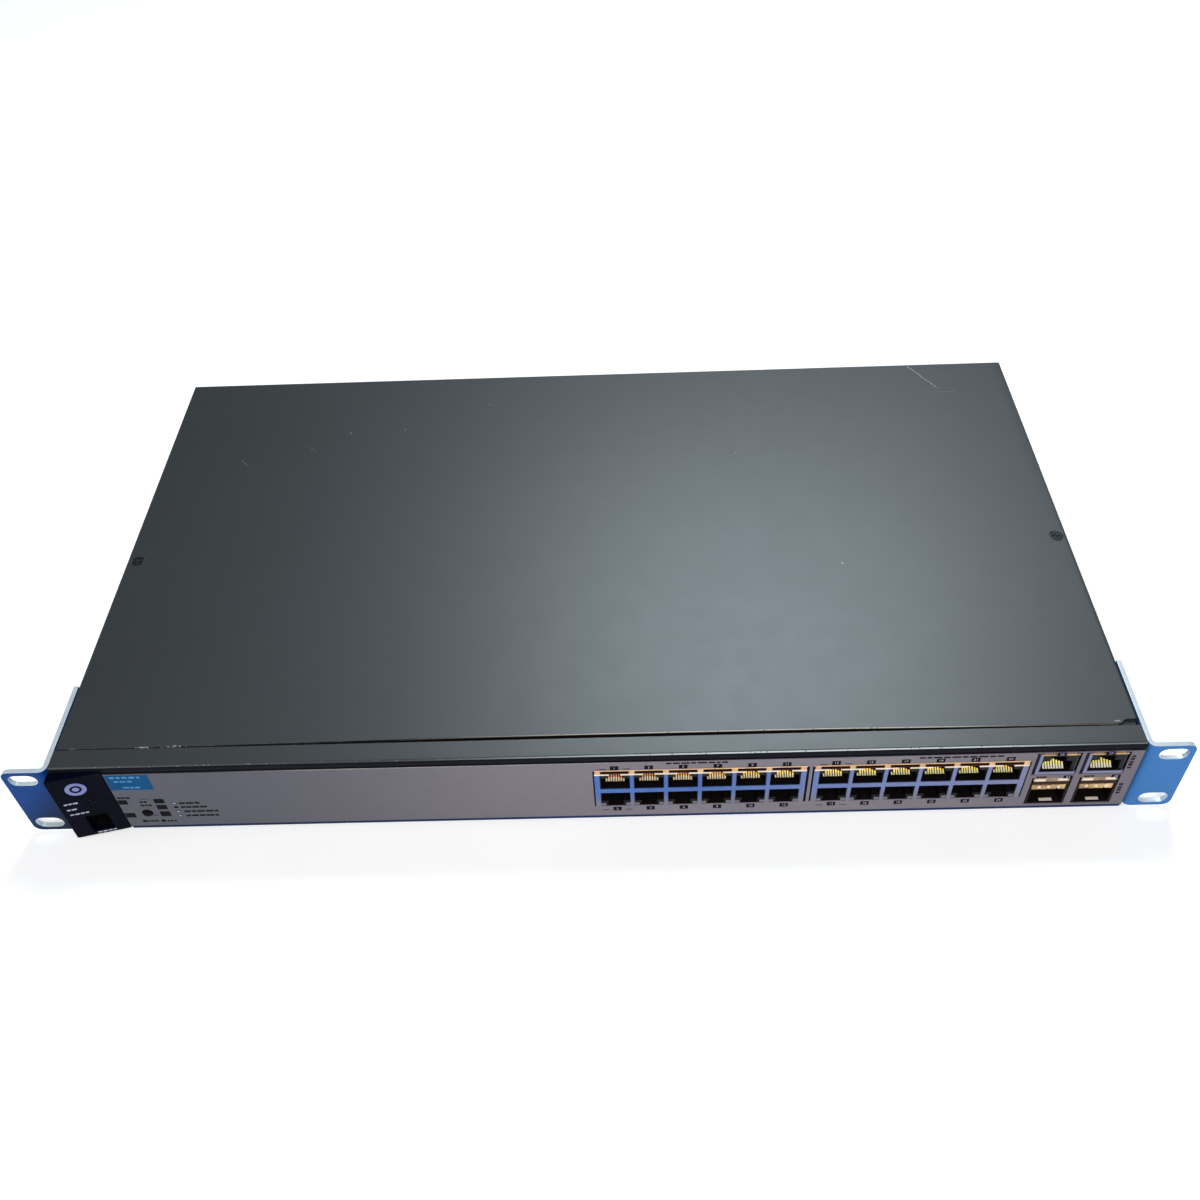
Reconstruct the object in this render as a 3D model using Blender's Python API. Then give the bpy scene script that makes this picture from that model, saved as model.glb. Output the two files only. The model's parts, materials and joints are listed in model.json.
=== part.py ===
"""A one-unit rackmount network switch, built as the separate pieces it comes apart into.

Sizes are in metres. X runs along the front, Y runs from front to back and Z is up. Most
places are given in chassis coordinates, where Y = 0 is the plane of the front label and
Z = 0 is the underside of the base; place() turns them into world coordinates, which put
the middle of the whole object's footprint at the origin.
"""

import math

import bmesh
import bpy
from mathutils import Matrix, Vector

MM = 0.001

# Overall sizes
CHASSIS_WIDTH = 443.0 * MM
CHASSIS_DEPTH = 246.4 * MM
CHASSIS_HEIGHT = 43.9 * MM
GAP = 0.3 * MM  # between pieces that touch

# Sheet metal
SHEET = 1.0 * MM
BEND_RADIUS = 1.8 * MM
TOP_STRIP_DEPTH = 10.2 * MM
SEAM_GAP = 0.35 * MM
BASE_FLANGE_WIDTH = 14.0 * MM
COVER_CLEARANCE_BELOW = 1.3 * MM

# Front label and status bezel
LABEL_SHEET = 0.35 * MM
LABEL_BOTTOM = 1.8 * MM
LABEL_TOP_MARGIN = 3.0 * MM
LABEL_SIDE_MARGIN = 0.6 * MM
BEZEL_WIDTH = 21.8 * MM
BEZEL_PROJECTION = 4.5 * MM
BEZEL_BOTTOM = 0.4 * MM
BEZEL_TOP_MARGIN = 1.2 * MM
LIGHT_PIPE_RADIUS = 0.8 * MM
LIGHT_PIPE_HEIGHTS = (25.2 * MM, 21.2 * MM, 17.2 * MM)
LIGHT_PIPE_INSET = 12.6 * MM
LIGHT_PIPE_LENGTH = 9.0 * MM
LIGHT_PIPE_CLEARANCE = 0.2 * MM

# Rack ears
EAR_PROJECTION = 19.8 * MM  # 482.6 mm over both ears
EAR_SHEET = 2.0 * MM
EAR_END_CLEARANCE = 0.3 * MM
EAR_FLANGE_DEPTH = 43.0 * MM
EAR_BEND_RADIUS = 3.2 * MM
EAR_CORNER_RADIUS = 3.5 * MM
EAR_SLOT_LENGTH = 12.2 * MM
EAR_SLOT_HEIGHT = 7.1 * MM
EAR_SLOT_SPACING = 31.75 * MM
EAR_SLOT_FROM_SIDE = 11.6 * MM
EAR_SCREW_DEPTHS = (17.0 * MM, 34.0 * MM)
EAR_SCREW_SPACING = 22.0 * MM

# Screws
SCREW_RADIUS = 1.5 * MM
SCREW_HOLE_CLEARANCE = 0.25 * MM
SCREW_LENGTH = 6.0 * MM
SCREW_HEAD_RADIUS = 3.0 * MM
SCREW_HEAD_HEIGHT = 1.5 * MM
COVER_SCREW_SIDE_MARGIN = 5.1 * MM
COVER_SCREW_DEPTH = 115.7 * MM
COUNTERSINK_CLEARANCE = 0.25 * MM

# Port banks: two rows of jacks in one shielded block
PORT_PITCH = 13.97 * MM
PORT_COLUMNS = 6
PORT_DIVIDER = 1.57 * MM
BANK_SIDE_WALL = 1.39 * MM
BANK_RIGHT_MARGIN = 44.85 * MM
BANK_SPACING = 3.07 * MM
BANK_BOTTOM = 7.6 * MM
JACK_ROW_HEIGHT = 10.1 * MM
BANK_DEPTH = 24.0 * MM
BANK_MIDDLE_BAR = 2.8 * MM
BANK_OUTER_BAR = 1.2 * MM
SHIELD_SHEET = 0.3 * MM
CUTOUT_CLEARANCE = 0.6 * MM
JACK_LIP = 0.3 * MM
JACK_CAVITY_HEIGHT = 6.9 * MM
JACK_LATCH_WIDTH = 6.4 * MM
JACK_LATCH_HEIGHT = 3.0 * MM
CONTACT_ROW_WIDTH = 7.7 * MM
CONTACT_THICKNESS = 0.6 * MM
CONTACT_REACH = 12.0 * MM
CONTACT_CARRIER = 2.0 * MM
FINGER_STRIP_HEIGHT = 1.3 * MM
FINGER_STRIP_DEPTH = 6.0 * MM
FINGER_STRIP_SHEET = 0.2 * MM

# Uplink jacks over pluggable-module cages
UPLINK_COUNT = 2
UPLINK_FROM_SIDE = 14.1 * MM  # the last one
UPLINK_WEB = 1.6 * MM
UPLINK_SIDE_WALL = 1.2 * MM
UPLINK_OPENING_WIDTH = 13.6 * MM
UPLINK_OPENING_BOTTOM = 26.9 * MM
UPLINK_OPENING_HEIGHT = 10.1 * MM
UPLINK_WALL = 1.5 * MM
UPLINK_DEPTH = 21.0 * MM
UPLINK_LEFT_CLEARANCE = 1.4 * MM
UPLINK_RIGHT_CLEARANCE = 0.4 * MM
CAGE_OPENING_WIDTH = 14.4 * MM
CAGE_OPENING_BOTTOM = 4.2 * MM
CAGE_OPENING_HEIGHT = 14.2 * MM
CAGE_WALL = 0.6 * MM
CAGE_DEPTH = 48.0 * MM
CAGE_CLEARANCE = 0.4 * MM
CAGE_CONNECTOR_DEPTH = 9.0 * MM
CAGE_STRIP_HEIGHT = 3.2 * MM
CAGE_STRIP_DEPTH = 1.2 * MM

# Console jack, turned on its side behind the bezel
CONSOLE_FROM_BEZEL_EDGE = 11.7 * MM
CONSOLE_OPENING_WIDTH = 8.8 * MM
CONSOLE_OPENING_BOTTOM = 3.0 * MM
CONSOLE_OPENING_HEIGHT = 11.4 * MM
CONSOLE_WALL = 1.2 * MM
CONSOLE_DEPTH = 15.0 * MM

# Buttons
MODE_BUTTON_FROM_BEZEL = 10.4 * MM
MODE_BUTTON_Z = 11.8 * MM
MODE_BUTTON_RADIUS = 2.1 * MM
MODE_BUTTON_PROUD = 0.7 * MM
PIN_BUTTONS_FROM_BEZEL = (7.3 * MM, 15.3 * MM)
PIN_BUTTON_Z = 5.3 * MM
PIN_BUTTON_RADIUS = 0.75 * MM
PIN_BUTTON_RECESS = 0.4 * MM
BUTTON_CLEARANCE = 0.25 * MM
BUTTON_LENGTH = 6.5 * MM
BUTTON_COLLAR = 0.7 * MM
BUTTON_COLLAR_LENGTH = 1.0 * MM
BUTTON_TRAVEL_ROOM = 0.9 * MM
BUTTON_BOARD_WIDTH = 24.0 * MM
BUTTON_BOARD_HEIGHT = 17.0 * MM

# Boards and what stands on them
BOARD_SHEET = 1.6 * MM
STANDOFF_HEIGHT = 4.4 * MM
STANDOFF_RADIUS = 3.0 * MM
MAIN_BOARD_LEFT_MARGIN = 45.5 * MM
MAIN_BOARD_RIGHT_MARGIN = 44.5 * MM
MAIN_BOARD_FRONT = 3.4 * MM
POWER_BOARD_LEFT_MARGIN = 13.5 * MM
POWER_BOARD_REAR_MARGIN = 29.0 * MM
POWER_BOARD_WIDTH = 132.0 * MM
POWER_BOARD_DEPTH = 78.0 * MM
BOARD_SPACING = 8.0 * MM
UPLINK_BOARD_MARGIN = 1.0 * MM
UPLINK_BOARD_DEPTH = 58.0 * MM
HEATSINK_SIZE = (42.0 * MM, 42.0 * MM, 14.0 * MM)
HEATSINK_FINS = 9
HEATSINK_BASE = 3.0 * MM
HEATSINK_FIN_SHEET = 1.4 * MM
MAGNETICS_HEIGHT = 9.0 * MM
MAGNETICS_DEPTH = 13.0 * MM
TRANSFORMER_SIZE = (34.0 * MM, 28.0 * MM, 25.0 * MM)
CAPACITOR_RADIUS = 9.0 * MM
CAPACITOR_HEIGHT = 27.0 * MM
INSULATOR_SHEET = 0.4 * MM
HARNESS_RADIUS = 2.2 * MM

# Power inlet and the rear wall
INLET_FROM_SIDE = 71.5 * MM
INLET_Z = 21.5 * MM
INLET_FLANGE = (31.0 * MM, 23.6 * MM)
INLET_FLANGE_SHEET = 1.6 * MM
INLET_BODY = (27.6 * MM, 19.8 * MM)
INLET_CAVITY = (24.6 * MM, 16.6 * MM)
INLET_CHAMFER = 4.2 * MM
INLET_DEPTH = 19.0 * MM
INLET_CAVITY_DEPTH = 16.0 * MM
INLET_PIN = (2.0 * MM, 4.0 * MM)
INLET_PIN_SPREAD = 7.0 * MM
INLET_PIN_DROP = 1.0 * MM
INLET_PIN_RISE = 3.4 * MM
INLET_PIN_LENGTH = 14.0 * MM
INLET_PIN_TAIL = 4.0 * MM
GROUND_SCREW_FROM_SIDE = 111.5 * MM
GROUND_SCREW_Z = 12.0 * MM
LOCK_SLOT_FROM_SIDE = 25.5 * MM
LOCK_SLOT = (7.0 * MM, 3.0 * MM)

# Vents
VENT_SLOT_LENGTH = 14.0 * MM
VENT_SLOT_HEIGHT = 2.4 * MM
VENT_PITCH_ALONG = 18.5 * MM
VENT_PITCH_UP = 6.4 * MM
VENT_ROWS = 4
VENT_START = 70.0 * MM
VENT_END_MARGIN = 28.0 * MM
VENT_BOTTOM = 11.0 * MM
WINDOW_MARGIN = 2.0 * MM
REAR_VENT_SIZE = (3.0 * MM, 18.0 * MM)
REAR_VENT_PITCH = 7.5 * MM
REAR_VENTS = 14
REAR_VENT_START = 20.0 * MM

# Worked out from the sizes above
FRONT_Y = -(CHASSIS_DEPTH + INLET_FLANGE_SHEET + GAP - BEZEL_PROJECTION) / 2
HALF_WIDTH = CHASSIS_WIDTH / 2
PANEL_FRONT = LABEL_SHEET + GAP
PANEL_BACK = PANEL_FRONT + SHEET
LABEL_TOP = CHASSIS_HEIGHT - LABEL_TOP_MARGIN
BEZEL_TOP = CHASSIS_HEIGHT - BEZEL_TOP_MARGIN
BEZEL_INNER_X = -HALF_WIDTH + BEZEL_WIDTH
EAR_BOTTOM = EAR_END_CLEARANCE
EAR_HEIGHT = CHASSIS_HEIGHT - 2 * EAR_END_CLEARANCE
EAR_SLOT_CENTRE = HALF_WIDTH + EAR_SLOT_FROM_SIDE
MODE_BUTTON_X = BEZEL_INNER_X + MODE_BUTTON_FROM_BEZEL
PIN_BUTTON_XS = tuple(BEZEL_INNER_X + inset for inset in PIN_BUTTONS_FROM_BEZEL)
BOARD_BOTTOM = SHEET + STANDOFF_HEIGHT + GAP
BOARD_TOP = BOARD_BOTTOM + BOARD_SHEET
PORT_OPENING = PORT_PITCH - PORT_DIVIDER
JACK_CAVITY_WIDTH = PORT_OPENING - 2 * JACK_LIP
BANK_WIDTH = PORT_COLUMNS * PORT_PITCH + 2 * BANK_SIDE_WALL
BANK_HEIGHT = 2 * JACK_ROW_HEIGHT + BANK_MIDDLE_BAR + 2 * BANK_OUTER_BAR
BANK_MIDDLE = BANK_BOTTOM + BANK_HEIGHT / 2
RIGHT_BANK_CENTRE = HALF_WIDTH - BANK_RIGHT_MARGIN - BANK_WIDTH / 2
BANK_CENTRES = (RIGHT_BANK_CENTRE - BANK_WIDTH - BANK_SPACING, RIGHT_BANK_CENTRE)
UPLINK_WIDTH = UPLINK_OPENING_WIDTH + 2 * UPLINK_SIDE_WALL
UPLINK_PITCH = UPLINK_WIDTH + UPLINK_LEFT_CLEARANCE + UPLINK_RIGHT_CLEARANCE + UPLINK_WEB
UPLINK_CENTRES = tuple(
    HALF_WIDTH - UPLINK_FROM_SIDE - (UPLINK_COUNT - 1 - number) * UPLINK_PITCH
    for number in range(UPLINK_COUNT)
)
CAGE_CENTRES = UPLINK_CENTRES
UPLINK_BOTTOM = UPLINK_OPENING_BOTTOM - UPLINK_WALL
UPLINK_TOP = UPLINK_OPENING_BOTTOM + UPLINK_OPENING_HEIGHT + UPLINK_WALL
CAGE_TOP = CAGE_OPENING_BOTTOM + CAGE_OPENING_HEIGHT + CAGE_WALL
HOLE_RADIUS = SCREW_RADIUS + SCREW_HOLE_CLEARANCE
MAIN_BOARD_LEFT = -HALF_WIDTH + MAIN_BOARD_LEFT_MARGIN
MAIN_BOARD_RIGHT = HALF_WIDTH - MAIN_BOARD_RIGHT_MARGIN
POWER_BOARD_LEFT = -HALF_WIDTH + POWER_BOARD_LEFT_MARGIN
POWER_BOARD_BACK = CHASSIS_DEPTH - POWER_BOARD_REAR_MARGIN
POWER_BOARD_FRONT = POWER_BOARD_BACK - POWER_BOARD_DEPTH
MAIN_BOARD_BACK = POWER_BOARD_FRONT - BOARD_SPACING
INLET_X = -HALF_WIDTH + INLET_FROM_SIDE
GROUND_SCREW_X = -HALF_WIDTH + GROUND_SCREW_FROM_SIDE
LOCK_SLOT_X = HALF_WIDTH - LOCK_SLOT_FROM_SIDE
VENT_COLUMNS = int((CHASSIS_DEPTH - VENT_START - VENT_END_MARGIN) / VENT_PITCH_ALONG)

LOOKS = {
    "painted_steel": ((0.030, 0.034, 0.036), 0.45, 0.0),
    "label_film": ((0.20, 0.19, 0.22), 0.5, 0.1),
    "bezel_plastic": ((0.006, 0.008, 0.014), 0.2, 0.0),
    "ear_coating": ((0.020, 0.130, 0.420), 0.35, 0.3),
    "bright_steel": ((0.55, 0.58, 0.62), 0.3, 1.0),
    "shield_nickel": ((0.30, 0.38, 0.55), 0.35, 0.9),
    "jack_plastic": ((0.010, 0.010, 0.012), 0.5, 0.0),
    "contact_gold": ((0.85, 0.60, 0.20), 0.25, 1.0),
    "finger_copper": ((0.75, 0.52, 0.36), 0.35, 1.0),
    "board_green": ((0.02, 0.14, 0.06), 0.5, 0.0),
    "black_aluminium": ((0.03, 0.03, 0.03), 0.5, 0.8),
    "can_blue": ((0.04, 0.05, 0.12), 0.35, 0.0),
    "tape_yellow": ((0.65, 0.50, 0.10), 0.5, 0.0),
    "clear_plastic": ((0.55, 0.60, 0.62), 0.15, 0.0),
    "insulating_film": ((0.60, 0.60, 0.56), 0.5, 0.0),
}


def place(x, y, z):
    """World coordinates of a point in chassis coordinates."""
    return Vector((x, y + FRONT_Y, z))


def material(look):
    found = bpy.data.materials.get(look)
    if found:
        return found
    color, roughness, metallic = LOOKS[look]
    made = bpy.data.materials.new(look)
    made.use_nodes = True
    shader = made.node_tree.nodes["Principled BSDF"]
    shader.inputs["Base Color"].default_value = (*color, 1.0)
    shader.inputs["Roughness"].default_value = roughness
    shader.inputs["Metallic"].default_value = metallic
    made.diffuse_color = (*color, 1.0)
    return made


def add_box(bm, low, high):
    """A box between two corners in chassis coordinates."""
    low_corner, high_corner = place(*low), place(*high)
    size = high_corner - low_corner
    centre = (low_corner + high_corner) / 2
    matrix = Matrix.Translation(centre) @ Matrix.Diagonal((*size, 1.0))
    return bmesh.ops.create_cube(bm, size=1.0, matrix=matrix)["verts"]


def add_prism(bm, outline, low, high, axis):
    """An outline pushed along an axis. The outline's two numbers are the other two
    chassis coordinates in X, Y, Z order, and low and high are places along the axis."""
    ends = []
    for at in (low, high):
        ring = []
        for a, b in outline:
            point = {"X": (at, a, b), "Y": (a, at, b), "Z": (a, b, at)}[axis]
            ring.append(bm.verts.new(place(*point)))
        ends.append(ring)
    count = len(outline)
    for i in range(count):
        j = (i + 1) % count
        bm.faces.new((ends[0][i], ends[0][j], ends[1][j], ends[1][i]))
    bm.faces.new(list(reversed(ends[0])))
    bm.faces.new(ends[1])


def add_turned(bm, profile, axis, segments=16):
    """A solid of revolution about an axis through the mesh's own origin. The profile is
    a list of (radius, place along the axis)."""
    rings = []
    for radius, along in profile:
        ring = []
        for step in range(segments):
            angle = 2 * math.pi * (step + 0.5) / segments
            c, s = radius * math.cos(angle), radius * math.sin(angle)
            point = {"X": (along, c, s), "Y": (c, along, s), "Z": (c, s, along)}[axis]
            ring.append(bm.verts.new(point))
        rings.append(ring)
    for near, far in zip(rings, rings[1:]):
        for i in range(segments):
            j = (i + 1) % segments
            bm.faces.new((near[i], near[j], far[j], far[i]))
    bm.faces.new(rings[0])
    bm.faces.new(rings[-1])
    return [vert for ring in rings for vert in ring]


def add_rod(bm, centre, radius, length, axis, segments=16):
    """A plain cylinder centred on a point in chassis coordinates."""
    verts = add_turned(bm, [(radius, -length / 2), (radius, length / 2)], axis, segments)
    bmesh.ops.translate(bm, verts=verts, vec=place(*centre))


def finish(name, bm, look, location=None, smooth=False):
    """Makes the object. A location moves its origin there and leaves its place alone."""
    bmesh.ops.recalc_face_normals(bm, faces=bm.faces)
    mesh = bpy.data.meshes.new(name)
    bm.to_mesh(mesh)
    bm.free()
    mesh.materials.append(material(look))
    if smooth:
        mesh.shade_smooth()
        mesh.set_sharp_from_angle(angle=math.radians(35))
    made = bpy.data.objects.new(name, mesh)
    if location is not None:
        made.location = location
    bpy.context.scene.collection.objects.link(made)
    return made


def box(name, low, high, look):
    bm = bmesh.new()
    add_box(bm, low, high)
    return finish(name, bm, look)


def tool(name, bm):
    """A hidden solid that a Boolean uses."""
    made = finish(name, bm, "bright_steel")
    made.hide_render = True
    made.display_type = "WIRE"
    return made


def shape_with(target, helper, operation="DIFFERENCE"):
    modifier = target.modifiers.new(helper.name, "BOOLEAN")
    modifier.operation = operation
    modifier.solver = "EXACT"
    modifier.object = helper


def cut_boxes(target, name, boxes):
    bm = bmesh.new()
    for low, high in boxes:
        add_box(bm, low, high)
    shape_with(target, tool(name, bm))


def obround(centre_a, centre_b, length, height, steps=6):
    """Points of a slot with round ends, longer along its first coordinate."""
    points = []
    radius = height / 2
    for side, start in ((1, -90), (-1, 90)):
        for step in range(steps + 1):
            angle = math.radians(start + 180 * step / steps)
            a = centre_a + side * (length / 2 - radius) + radius * math.cos(angle)
            points.append((a, centre_b + radius * math.sin(angle)))
    return points


def span(centre, width):
    return centre - width / 2, centre + width / 2


# ---- Places shared by several pieces

def bank_span(index):
    return span(BANK_CENTRES[index], BANK_WIDTH)


def port_centre(index, column):
    return BANK_CENTRES[index] + (column - (PORT_COLUMNS - 1) / 2) * PORT_PITCH


def port_rows():
    """Bottom and top of the upper and the lower row of openings."""
    upper = (BANK_MIDDLE + BANK_MIDDLE_BAR / 2, BANK_BOTTOM + BANK_HEIGHT - BANK_OUTER_BAR)
    lower = (BANK_BOTTOM + BANK_OUTER_BAR, BANK_MIDDLE - BANK_MIDDLE_BAR / 2)
    return {"upper": upper, "lower": lower}


def front_cutouts(extra):
    """The rectangles cut in the front for the jacks and cages, grown by extra."""
    cutouts = []
    for index in range(2):
        left, right = bank_span(index)
        top = BANK_BOTTOM + BANK_HEIGHT + FINGER_STRIP_HEIGHT + 2 * GAP
        side = CUTOUT_CLEARANCE + extra
        bottom = BANK_BOTTOM - side
        cutouts.append((left - side, right + side, bottom, top + extra))
    strip = FINGER_STRIP_HEIGHT + 2 * GAP
    for centre in UPLINK_CENTRES:
        left, right = span(centre, UPLINK_WIDTH)
        low = UPLINK_BOTTOM - CAGE_CLEARANCE - extra
        high = UPLINK_TOP + strip + extra
        left_edge = left - UPLINK_LEFT_CLEARANCE - extra
        cutouts.append((left_edge, right + UPLINK_RIGHT_CLEARANCE + extra, low, high))
    for centre in CAGE_CENTRES:
        left, right = span(centre, CAGE_OPENING_WIDTH + 2 * (CAGE_WALL + CAGE_CLEARANCE + extra))
        low = CAGE_OPENING_BOTTOM - CAGE_WALL - CAGE_CLEARANCE - extra
        high = CAGE_TOP + CAGE_STRIP_HEIGHT + 2 * GAP + extra
        cutouts.append((left, right, low, high))
    return cutouts


def console_span():
    left = -HALF_WIDTH + CONSOLE_FROM_BEZEL_EDGE - CONSOLE_OPENING_WIDTH / 2
    return left, left + CONSOLE_OPENING_WIDTH


def bezel_face_y(x):
    """How far forward the slanting bezel face stands at a place along X."""
    return -BEZEL_PROJECTION * (BEZEL_INNER_X - x) / BEZEL_WIDTH


def standoff_places():
    """Centres of the raised bosses under the main and the power board."""
    inset = 8.0 * MM
    places = []
    for x in (MAIN_BOARD_LEFT + inset, 0.0, MAIN_BOARD_RIGHT - inset):
        for y in (MAIN_BOARD_FRONT + BANK_DEPTH + 2 * inset, MAIN_BOARD_BACK - inset):
            places.append((x, y))
    for x in (POWER_BOARD_LEFT + inset, POWER_BOARD_LEFT + POWER_BOARD_WIDTH - inset):
        for y in (POWER_BOARD_FRONT + inset, POWER_BOARD_BACK - inset):
            places.append((x, y))
    return places


def ear_screw_places():
    middle = EAR_BOTTOM + EAR_HEIGHT / 2
    heights = span(middle, EAR_SCREW_SPACING)
    return [(y, z) for y in EAR_SCREW_DEPTHS for z in heights]


def vent_boxes(x_low, x_high):
    boxes = []
    for column in range(VENT_COLUMNS):
        start = VENT_START + column * VENT_PITCH_ALONG
        for row in range(VENT_ROWS):
            low = VENT_BOTTOM + row * VENT_PITCH_UP
            high_corner = (x_high, start + VENT_SLOT_LENGTH, low + VENT_SLOT_HEIGHT)
            boxes.append(((x_low, start, low), high_corner))
    return boxes


# ---- Sheet metal

def build_base_pan():
    """Floor, rear wall and two side walls with inward flanges, folded from one sheet."""
    side = HALF_WIDTH - SHEET - GAP
    top = CHASSIS_HEIGHT - SHEET - GAP
    rear = CHASSIS_DEPTH
    pan = box("base_pan", (-side, PANEL_BACK + GAP, 0), (side, rear, top), "painted_steel")
    over = 20.0 * MM
    cut_boxes(pan, "base_pan_inside", [
        ((-side + SHEET, -over, SHEET), (side - SHEET, rear - SHEET, top - SHEET)),
    ])
    flange = BASE_FLANGE_WIDTH
    cut_boxes(pan, "base_pan_mouth", [
        ((-side + flange, -over, top - 2 * SHEET), (side - flange, rear - SHEET, top + over)),
    ])
    # One window in each side wall lets the cover's vent slots breathe
    window_end = VENT_START + (VENT_COLUMNS - 1) * VENT_PITCH_ALONG + VENT_SLOT_LENGTH
    window_top = VENT_BOTTOM + (VENT_ROWS - 1) * VENT_PITCH_UP + VENT_SLOT_HEIGHT
    windows = []
    half = VENT_COLUMNS // 2
    for first, last in ((0, half - 1), (half, VENT_COLUMNS - 1)):
        start = VENT_START + first * VENT_PITCH_ALONG - WINDOW_MARGIN
        end = VENT_START + last * VENT_PITCH_ALONG + VENT_SLOT_LENGTH + WINDOW_MARGIN
        end = min(end, window_end + WINDOW_MARGIN)
        for low, high in ((-side - over, -side + 2 * SHEET), (side - 2 * SHEET, side + over)):
            corner = (high, end, window_top + WINDOW_MARGIN)
            windows.append(((low, start, VENT_BOTTOM - WINDOW_MARGIN), corner))
    cut_boxes(pan, "base_pan_windows", windows)
    # Rear wall: inlet, lock slot and a row of tall vents
    body_wide, body_high = INLET_BODY[0] + 2 * GAP, INLET_BODY[1] + 2 * GAP
    openings = [
        (span(INLET_X, body_wide), span(INLET_Z, body_high)),
        (span(LOCK_SLOT_X, LOCK_SLOT[0]), span(INLET_Z, LOCK_SLOT[1])),
    ]
    for index in range(REAR_VENTS):
        x = REAR_VENT_START + index * REAR_VENT_PITCH
        openings.append((span(x, REAR_VENT_SIZE[0]), span(INLET_Z, REAR_VENT_SIZE[1])))
    cut_boxes(pan, "base_pan_rear_openings", [
        ((left, rear - 2 * SHEET, low), (right, rear + over, high))
        for (left, right), (low, high) in openings
    ])
    bosses = bmesh.new()
    for x, y in standoff_places():
        height = STANDOFF_HEIGHT + SHEET / 2
        add_rod(bosses, (x, y, SHEET / 2 + height / 2), STANDOFF_RADIUS, height, "Z", 12)
    shape_with(pan, tool("base_pan_bosses", bosses), "UNION")
    holes = bmesh.new()
    for sign in (-1, 1):
        for y, z in ear_screw_places():
            add_rod(holes, (sign * side, y, z), HOLE_RADIUS, 4 * SHEET, "X", 12)
        x = sign * (HALF_WIDTH - COVER_SCREW_SIDE_MARGIN)
        add_rod(holes, (x, COVER_SCREW_DEPTH, top), HOLE_RADIUS, 4 * SHEET, "Z", 12)
    add_rod(holes, (GROUND_SCREW_X, rear, GROUND_SCREW_Z), HOLE_RADIUS, 4 * SHEET, "Y", 12)
    shape_with(pan, tool("base_pan_screw_holes", holes))
    return pan


def build_front_panel():
    """Front wall, rounded over into the strip of top in front of the seam, with a short
    return at each side."""
    bm = bmesh.new()
    add_box(
        bm,
        (-HALF_WIDTH, PANEL_FRONT, 0),
        (HALF_WIDTH, TOP_STRIP_DEPTH, CHASSIS_HEIGHT),
    )
    front = place(0, PANEL_FRONT, 0).y
    edges = []
    for edge in bm.edges:
        at_front = all(abs(vert.co.y - front) < 1e-6 for vert in edge.verts)
        at_top = all(abs(vert.co.z - CHASSIS_HEIGHT) < 1e-6 for vert in edge.verts)
        if at_front and at_top:
            edges.append(edge)
    bmesh.ops.bevel(bm, geom=edges, offset=BEND_RADIUS, segments=5, profile=0.5, affect="EDGES")
    panel = finish("front_panel", bm, "painted_steel", smooth=True)
    over = 20.0 * MM
    inner = HALF_WIDTH - SHEET
    cut_boxes(panel, "front_panel_inside", [
        ((-inner, PANEL_BACK, -over), (inner, over, CHASSIS_HEIGHT - SHEET)),
    ])
    boxes = []
    for left, right, low, high in front_cutouts(0.0):
        boxes.append(((left, -over, low), (right, PANEL_BACK + SHEET, high)))
    left, right = console_span()
    wall = CONSOLE_WALL + GAP
    top = CONSOLE_OPENING_BOTTOM + CONSOLE_OPENING_HEIGHT + wall
    low = CONSOLE_OPENING_BOTTOM - wall
    boxes.append(((left - wall, -over, low), (right + wall, PANEL_BACK + SHEET, top)))
    cut_boxes(panel, "front_panel_cutouts", boxes)
    holes = bmesh.new()
    for x, z, radius in button_holes():
        add_rod(holes, (x, PANEL_FRONT, z), radius, 6 * SHEET, "Y", 16)
    for z in LIGHT_PIPE_HEIGHTS:
        radius = LIGHT_PIPE_RADIUS + LIGHT_PIPE_CLEARANCE
        x = -HALF_WIDTH + LIGHT_PIPE_INSET
        add_rod(holes, (x, PANEL_FRONT, z), radius, 6 * SHEET, "Y", 10)
    shape_with(panel, tool("front_panel_holes", holes))
    return panel


def button_holes():
    holes = [(MODE_BUTTON_X, MODE_BUTTON_Z, MODE_BUTTON_RADIUS + BUTTON_CLEARANCE)]
    for x in PIN_BUTTON_XS:
        holes.append((x, PIN_BUTTON_Z, PIN_BUTTON_RADIUS + BUTTON_CLEARANCE))
    return holes


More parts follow.
